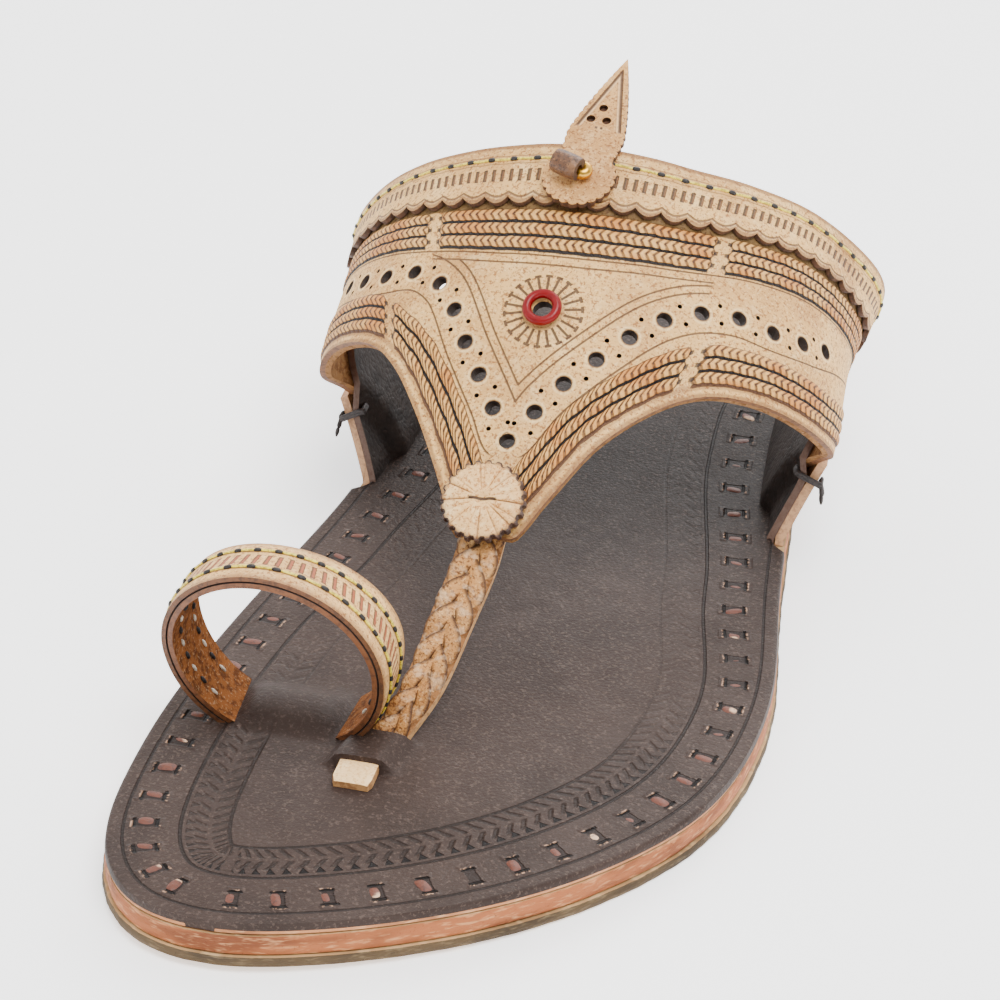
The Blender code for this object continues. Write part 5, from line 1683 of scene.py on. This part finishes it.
def tip_rosette():
    """Toothed disc over the V's point, its leather folded in round a slit."""
    place = (TIP_ROSETTE_PLACE[0], along(TIP_ROSETTE_PLACE[1]))
    origin, right, back, normal = frame_on_strap(*place, BRAID_RAISE + 2 * FIT_GAP)
    count = 288
    turns = np.arange(count) * 2 * math.pi / count
    teeth = 0.93 + 0.07 * np.clip(1.5 * np.cos(TIP_ROSETTE_TEETH * turns) + 0.4, 0, 1)
    rng = np.random.default_rng(11)
    fold = np.zeros(count)
    for spot in np.linspace(0, 2 * math.pi, 17)[:-1] + rng.normal(0, 0.10, 16):
        gap = np.abs((turns - spot + math.pi) % (2 * math.pi) - math.pi)
        fold = np.maximum(fold, rng.uniform(0.5, 1.0) * np.exp(-(gap / 0.045) ** 2))
    radius = TIP_ROSETTE_DIAMETER / 2
    rings, folds = [], []
    levels = [(share, 0.0) for share in (0.02, 0.5, 0.98)]
    levels += [(1.0, 0.15), (1.0, 0.8), (0.985, 1.0)]
    levels += [(share, 1.0) for share in np.linspace(0.95, 0.06, 26)]
    for share, level in levels:
        tooth = 1 + (teeth - 1) * ease((share - 0.86) / 0.12)
        reach = radius * share * tooth
        crown = 0.0009 * (1 - share ** 2) - 0.0007 * (1 - ease(share / 0.22))
        ramp = ease((share - 0.10) / 0.3) * (1 if level == 1.0 else 0)
        height = level * ROSETTE_WALL + crown * (level == 1.0) - 0.00035 * fold * ramp
        u, v = reach * np.sin(turns), -reach * np.cos(turns)
        rings.append(origin + right * u[:, None] + back * v[:, None] + normal * height[:, None])
        folds.append(fold * ramp)
    rings = np.array(rings)
    offset = rings - origin
    fields = {"ring_u_mm": offset @ right * 1000, "ring_v_mm": offset @ back * 1000, "fold": folds}
    rim = cut_edge("rosette_edge", (74, 48, 34), (44, 30, 24))
    piece = skin("rosette", rings, [rosette_leather(), rim], None, fields, sharp_angle=50)
    mark_rows(piece, count, range(0, 6), 1)
    dress(piece, "tan_leather", "tip_rosette")


def mark_rows(piece, count, rows, slot):
    """Give whole ring strips of a skin another finish."""
    for row in rows:
        for face in range(row * count, (row + 1) * count):
            piece.data.polygons[face].material_index = slot


def toothed_arc(radius, teeth, start, stop):
    """Arc with small rounded teeth, turns in degrees."""
    count = max(int(round(teeth * (stop - start) / 360)), 1)
    turns = np.radians(np.linspace(start, stop, count * 8 + 1))
    wave = np.abs(np.sin(np.linspace(0, count * math.pi, count * 8 + 1)))
    reach = radius * (0.93 + 0.07 * wave ** 0.7)
    return list(zip(reach * np.sin(turns), -reach * np.cos(turns)))


def crest():
    """Toothed disc on the collar band that runs on past the collar as a pointed leaf."""
    radius = CREST_DIAMETER / 2
    disc = toothed_arc(radius, CREST_TEETH, -128, 128)
    tip = radius * 1.62 + LEAF_LENGTH
    leaf_foot = radius * 0.80
    teeth, per_tooth = 15, 6
    right_side = []
    for i in range(teeth * per_tooth):
        share = i / (teeth * per_tooth)
        wave = abs(math.sin(math.pi * i / per_tooth))
        full = (1 - share ** 1.45) * (0.86 + 0.14 * ease(share / 0.22))
        half = LEAF_WIDTH / 2 * full * (0.93 + 0.07 * wave ** 0.7)
        right_side.append((half, leaf_foot + (tip - leaf_foot) * share))
    outline = disc + right_side + [(0.0, tip)]
    outline += [(-u, v) for u, v in reversed(right_side)]
    frame_here = crest_frame(BAND_WALL + 2 * FIT_GAP)
    levels = (0.0, 0.15, 0.85, 1.0)
    shrink = (0.985, 1.0, 1.0, 0.985)
    rings, us, vs = [], [], []
    for level, scale in zip(levels, shrink):
        spots = [(u * scale, v) for u, v in outline]
        rings.append([crest_point(frame_here, u, v, level * CREST_WALL) for u, v in spots])
        us.append([u * 1000 for u, _ in spots])
        vs.append([v * 1000 for _, v in spots])
    rim = cut_edge("crest_edge", (84, 50, 26), (40, 24, 14))
    piece = skin("crest_leaf", rings, [crest_leather(), rim], None,
                 {"ring_u_mm": us, "ring_v_mm": vs}, sharp_angle=40)
    mark_rows(piece, len(outline), range(0, 2), 1)
    right, back, normal = frame_here[1:]
    holes = ((-0.0021, 0.0134), (0.0009, 0.0136), (-0.0006, 0.0164))
    spots = [((crest_point(frame_here, u, v, CREST_WALL), right, back, normal), 0.0017,
              CREST_WALL * 0.85) for u, v in holes]
    cut_out(piece, cutter(spots), 1)
    start = crest_point(frame_here, 0, 0, 0)
    steps = np.array([crest_point(frame_here, *way) - start for way in np.eye(3)])
    places = np.array([vertex.co for vertex in piece.data.vertices]) - start - SHIFT
    flat = np.linalg.solve(steps.T, places.T)
    for name, row in zip(("ring_u_mm", "ring_v_mm"), flat):
        piece.data.attributes[name].data.foreach_set("value", (row * 1000).astype(np.float32))
    dress(piece, "tan_leather", "crest")


def crest_frame(lift):
    place = (CREST_PLACE[0], along(CREST_PLACE[1]))
    return frame_on_strap(*place, lift)


def crest_point(frame_here, u, v, height):
    """A point of the crest, which leans a little to its left."""
    origin, right, back, normal = frame_here
    cos_turn, sin_turn = math.cos(math.radians(CREST_TURN)), math.sin(math.radians(CREST_TURN))
    x, y = u * cos_turn - v * sin_turn, u * sin_turn + v * cos_turn
    return origin + right * x + back * y + normal * height


def ring_round(name, frame_here, middle, tube, finish, around=48, across_tube=14):
    """Round ring that stands on its place."""
    origin, right, back, normal = frame_here
    rings = []
    for turn in np.arange(around) * 2 * math.pi / around:
        spoke = right * math.cos(turn) + back * math.sin(turn)
        rings.append([origin + spoke * (middle + tube * math.cos(t))
                      + normal * tube * (1 + math.sin(t))
                      for t in np.arange(across_tube) * 2 * math.pi / across_tube])
    return skin(name, rings, [finish], loop=True, sharp_angle=80)


def eyelet():
    frame_here = frame_on_strap(EYELET_PLACE[0], along(EYELET_PLACE[1]), 2 * FIT_GAP)
    middle = EYELET_BORE / 2 + EYELET_TUBE / 2
    dress(ring_round("red_ring", frame_here, middle, EYELET_TUBE / 2, red_enamel()),
          "red_enamel", "eyelet_ring")


def crest_top(shift_right=0.0, shift_back=0.0, lift=0.0):
    origin, right, back, normal = crest_frame(BAND_WALL + 2 * FIT_GAP + CREST_WALL + lift)
    return origin + right * shift_right + back * shift_back, right, back, normal


def bead_and_roll():
    tube = BEAD_DIAMETER * 0.3
    frame_here = crest_top(shift_right=BEAD_DIAMETER * 0.2, lift=FIT_GAP)
    bead = ring_round("gold_bead", frame_here, BEAD_DIAMETER / 2 - tube, tube * 0.93,
                      brass_metal(), 40, 16)
    dress(bead, "brass", "brass_bead")
    centre, right, back, normal = crest_top(-ROLL_WIDTH * 0.36, -0.0002, 0.0006)
    radius, wall = ROLL_DIAMETER / 2, ROLL_DIAMETER * 0.24
    turns = np.radians(np.linspace(-60, 235, 44))
    axis = right * 0.93 - back * 0.37
    up_axis = np.cross(normal, axis)
    rings = []
    for end in np.linspace(-0.5, 0.5, 14):
        puff = 1 - 0.10 * (2 * end) ** 4
        base = centre + axis * end * ROLL_WIDTH
        outer = [(math.cos(t) * radius * puff, radius + math.sin(t) * radius * puff) for t in turns]
        hollow = radius * puff - wall
        inner = [(math.cos(t) * hollow, radius + math.sin(t) * hollow) for t in turns[::-1]]
        rings.append([base + up_axis * u + normal * v for u, v in outer + inner])
    brown = leather("roll_leather", (104, 66, 36), (50, 28, 14), (160, 114, 72), roughness=0.4)
    rim = cut_edge("roll_edge", (74, 48, 30), (40, 26, 18))
    bands = [0] * 43 + [1] + [0] * 43 + [1]
    dress(skin("roll_strip", rings, [brown.done(), rim], bands, sharp_angle=60),
          "tan_leather", "roll")


def ties():
    """Dark lace knotted round the front edges of each ear, strap and wing."""
    finish = thread("dark_lace", (48, 38, 36), (22, 17, 16), 0.6, 0.6)
    across = EAR_HEIGHT_SHARE * 0.8
    front = along(EAR_FRONT_FOOT + (EAR_FRONT_TOP - EAR_FRONT_FOOT) * 0.8)
    wing_share = across / WING_HEIGHT_SHARE
    wing_front = along(WING_FRONT_FOOT + (WING_FRONT_TOP - WING_FRONT_FOOT) * wing_share)
    bridge = min(front, wing_front) - FIT_GAP * 2 - TIE_WIDTH / 2
    back = bridge + 0.0024
    outside = FIT_GAP * 2 + EAR_WALL + TIE_WIDTH * 0.3
    inside = -(WING_WALL + FIT_GAP * 2 + TIE_WIDTH * 0.3)
    for side, word in ((-1, "medial"), (1, "lateral")):
        place = across if side < 0 else 1 - across
        paths = []
        for shift, skew in ((-0.0016, 0.001), (0.0, -0.0006), (0.0014, 0.0008)):
            here = place + shift
            corners = [(back, outside), (bridge, outside), (bridge, inside), (back, inside)]
            path = []
            for (y0, l0), (y1, l1) in zip(corners, corners[1:]):
                for share in np.linspace(0, 1, 6)[:-1]:
                    path.append(on_strap(here + skew * share, y0 + (y1 - y0) * share,
                                         l0 + (l1 - l0) * share))
            path.append(on_strap(here, back, inside))
            paths.append(path)
        start = on_strap(place, bridge + 0.0006, outside)
        for lean, length in ((-0.25, 0.0034), (0.45, 0.0026)):
            tail = [start + np.array([side * 0.0006 * t, lean * length * t - 0.001 * t,
                                      -length * t * (0.4 + 0.6 * t)]) for t in np.linspace(0, 1, 8)]
            paths.append(tail)
        piece = tubes("lace_tie_" + word, paths, TIE_WIDTH * 0.34, finish, 8)
        dress(piece, "dark_lace", "tie_" + word)


# Stage

CAMERA_PLACE = np.array([0.08011, -0.44493, 0.27442])
CAMERA_RIGHT = np.array([0.95332924, 0.30162212, -0.01369174])
CAMERA_UP = np.array([-0.13366948, 0.46227788, 0.87660232])
CAMERA_FORWARD = np.array([-0.27073204, 0.83386045, -0.4810207])
PHOTO_FOCAL = 1900.0
PHOTO_MIDDLE = 500.0
AIM_AT = (686.0, 562.0)
LENS = 97.0
PAPER_REACH = 12.0
PAPER_FAR = 0.9
PAPER_BEND = 0.6
PAPER_TOP = 8.0
PAPER_GLOW = 0.95
WORLD_STRENGTH = 0.72


def camera():
    """The photograph's viewpoint, turned to the one shoe with a longer lens."""
    aside = (AIM_AT[0] - PHOTO_MIDDLE) / PHOTO_FOCAL
    below = (AIM_AT[1] - PHOTO_MIDDLE) / PHOTO_FOCAL
    forward = unit(CAMERA_FORWARD + CAMERA_RIGHT * aside - CAMERA_UP * below)
    right = unit(CAMERA_RIGHT - forward * CAMERA_RIGHT.dot(forward))
    up = np.cross(right, forward)
    data = bpy.data.cameras.new("camera")
    data.lens = LENS
    data.clip_start = 0.01
    made = bpy.data.objects.new("camera", data)
    rows = np.stack([right, up, -forward], axis=1)
    place = Matrix.Translation(Vector(CAMERA_PLACE + SHIFT))
    made.matrix_world = place @ Matrix(rows.tolist()).to_4x4()
    bpy.context.collection.objects.link(made)
    bpy.context.scene.camera = made


def area_light(name, place, target, size, power):
    data = bpy.data.lights.new(name, "AREA")
    data.shape = "DISK"
    data.size = size
    data.energy = power
    made = bpy.data.objects.new(name, data)
    made.location = place
    made.rotation_euler = (Vector(target) - Vector(place)).to_track_quat("-Z", "Y").to_euler()
    bpy.context.collection.objects.link(made)


def stage():
    """Paper that runs flat under the shoe and bends up behind it, and soft studio light."""
    profile = [(-PAPER_REACH, 0.0), (PAPER_FAR, 0.0)]
    for turn in np.radians(np.linspace(0, 90, 16)):
        profile.append((PAPER_FAR + PAPER_BEND * math.sin(turn), PAPER_BEND * (1 - math.cos(turn))))
    profile.append((PAPER_FAR + PAPER_BEND, PAPER_TOP))
    points = [(x, y, z) for y, z in profile for x in (-PAPER_REACH, PAPER_REACH)]
    faces = [(2 * i, 2 * i + 1, 2 * i + 3, 2 * i + 2) for i in range(len(profile) - 1)]
    mesh = bpy.data.meshes.new("floor")
    mesh.from_pydata(points, [], faces)
    mesh.shade_smooth()
    paper = Finish("paper", (246, 246, 246), 0.9)
    paper.fleck((90, 2), 0.3, 0.8, (244, 244, 244), 0.5)
    mesh.materials.append(paper.done(Specular_IOR_Level=0.1, Emission_Color=(1, 1, 1, 1),
                                     Emission_Strength=PAPER_GLOW))
    mesh.materials[0].cycles.emission_sampling = "NONE"
    floor = bpy.data.objects.new("floor", mesh)
    bpy.context.collection.objects.link(floor)
    world = bpy.data.worlds.new("studio")
    world.use_nodes = True
    ground = world.node_tree.nodes["Background"]
    ground.inputs["Color"].default_value = (1.0, 1.0, 1.0, 1.0)
    ground.inputs["Strength"].default_value = WORLD_STRENGTH
    bpy.context.scene.world = world
    area_light("key", (0.32, -0.42, 1.15), (0, 0, 0.02), 0.80, 23.0)
    area_light("fill", (-0.85, -0.45, 0.80), (0, 0, 0.03), 0.9, 4.5)
    area_light("rim", (0.15, 0.95, 0.75), (0, 0, 0.05), 0.7, 9.0)


def main():
    camera()
    stage()
    sole_layers()
    footbed()
    laces()
    ears_and_wings()
    strap()
    gold, knots = collar_band()
    loop_gold, loop_knots, pale = toe_loop()
    gold_thread = thread("gold_thread", (232, 210, 70), (168, 144, 36), 0.35)
    black_thread = thread("black_thread", (30, 26, 24), (14, 12, 11), 0.6)
    pale_thread = thread("pale_thread", (216, 206, 188), (168, 156, 138), 0.6)
    for name, paths, thick, finish in (("collar_gold_thread", gold, 1.0, gold_thread),
                                       ("collar_black_knots", knots, 1.7, black_thread),
                                       ("loop_gold_thread", loop_gold, 1.0, gold_thread),
                                       ("loop_black_knots", loop_knots, 1.5, black_thread),
                                       ("loop_pale_stitches", pale, 1.1, pale_thread)):
        dress(tubes(name, paths, THREAD_RADIUS * thick, finish), "tan_leather")
    thong()
    thong_tab()
    tip_rosette()
    crest()
    eyelet()
    bead_and_roll()
    ties()


main()
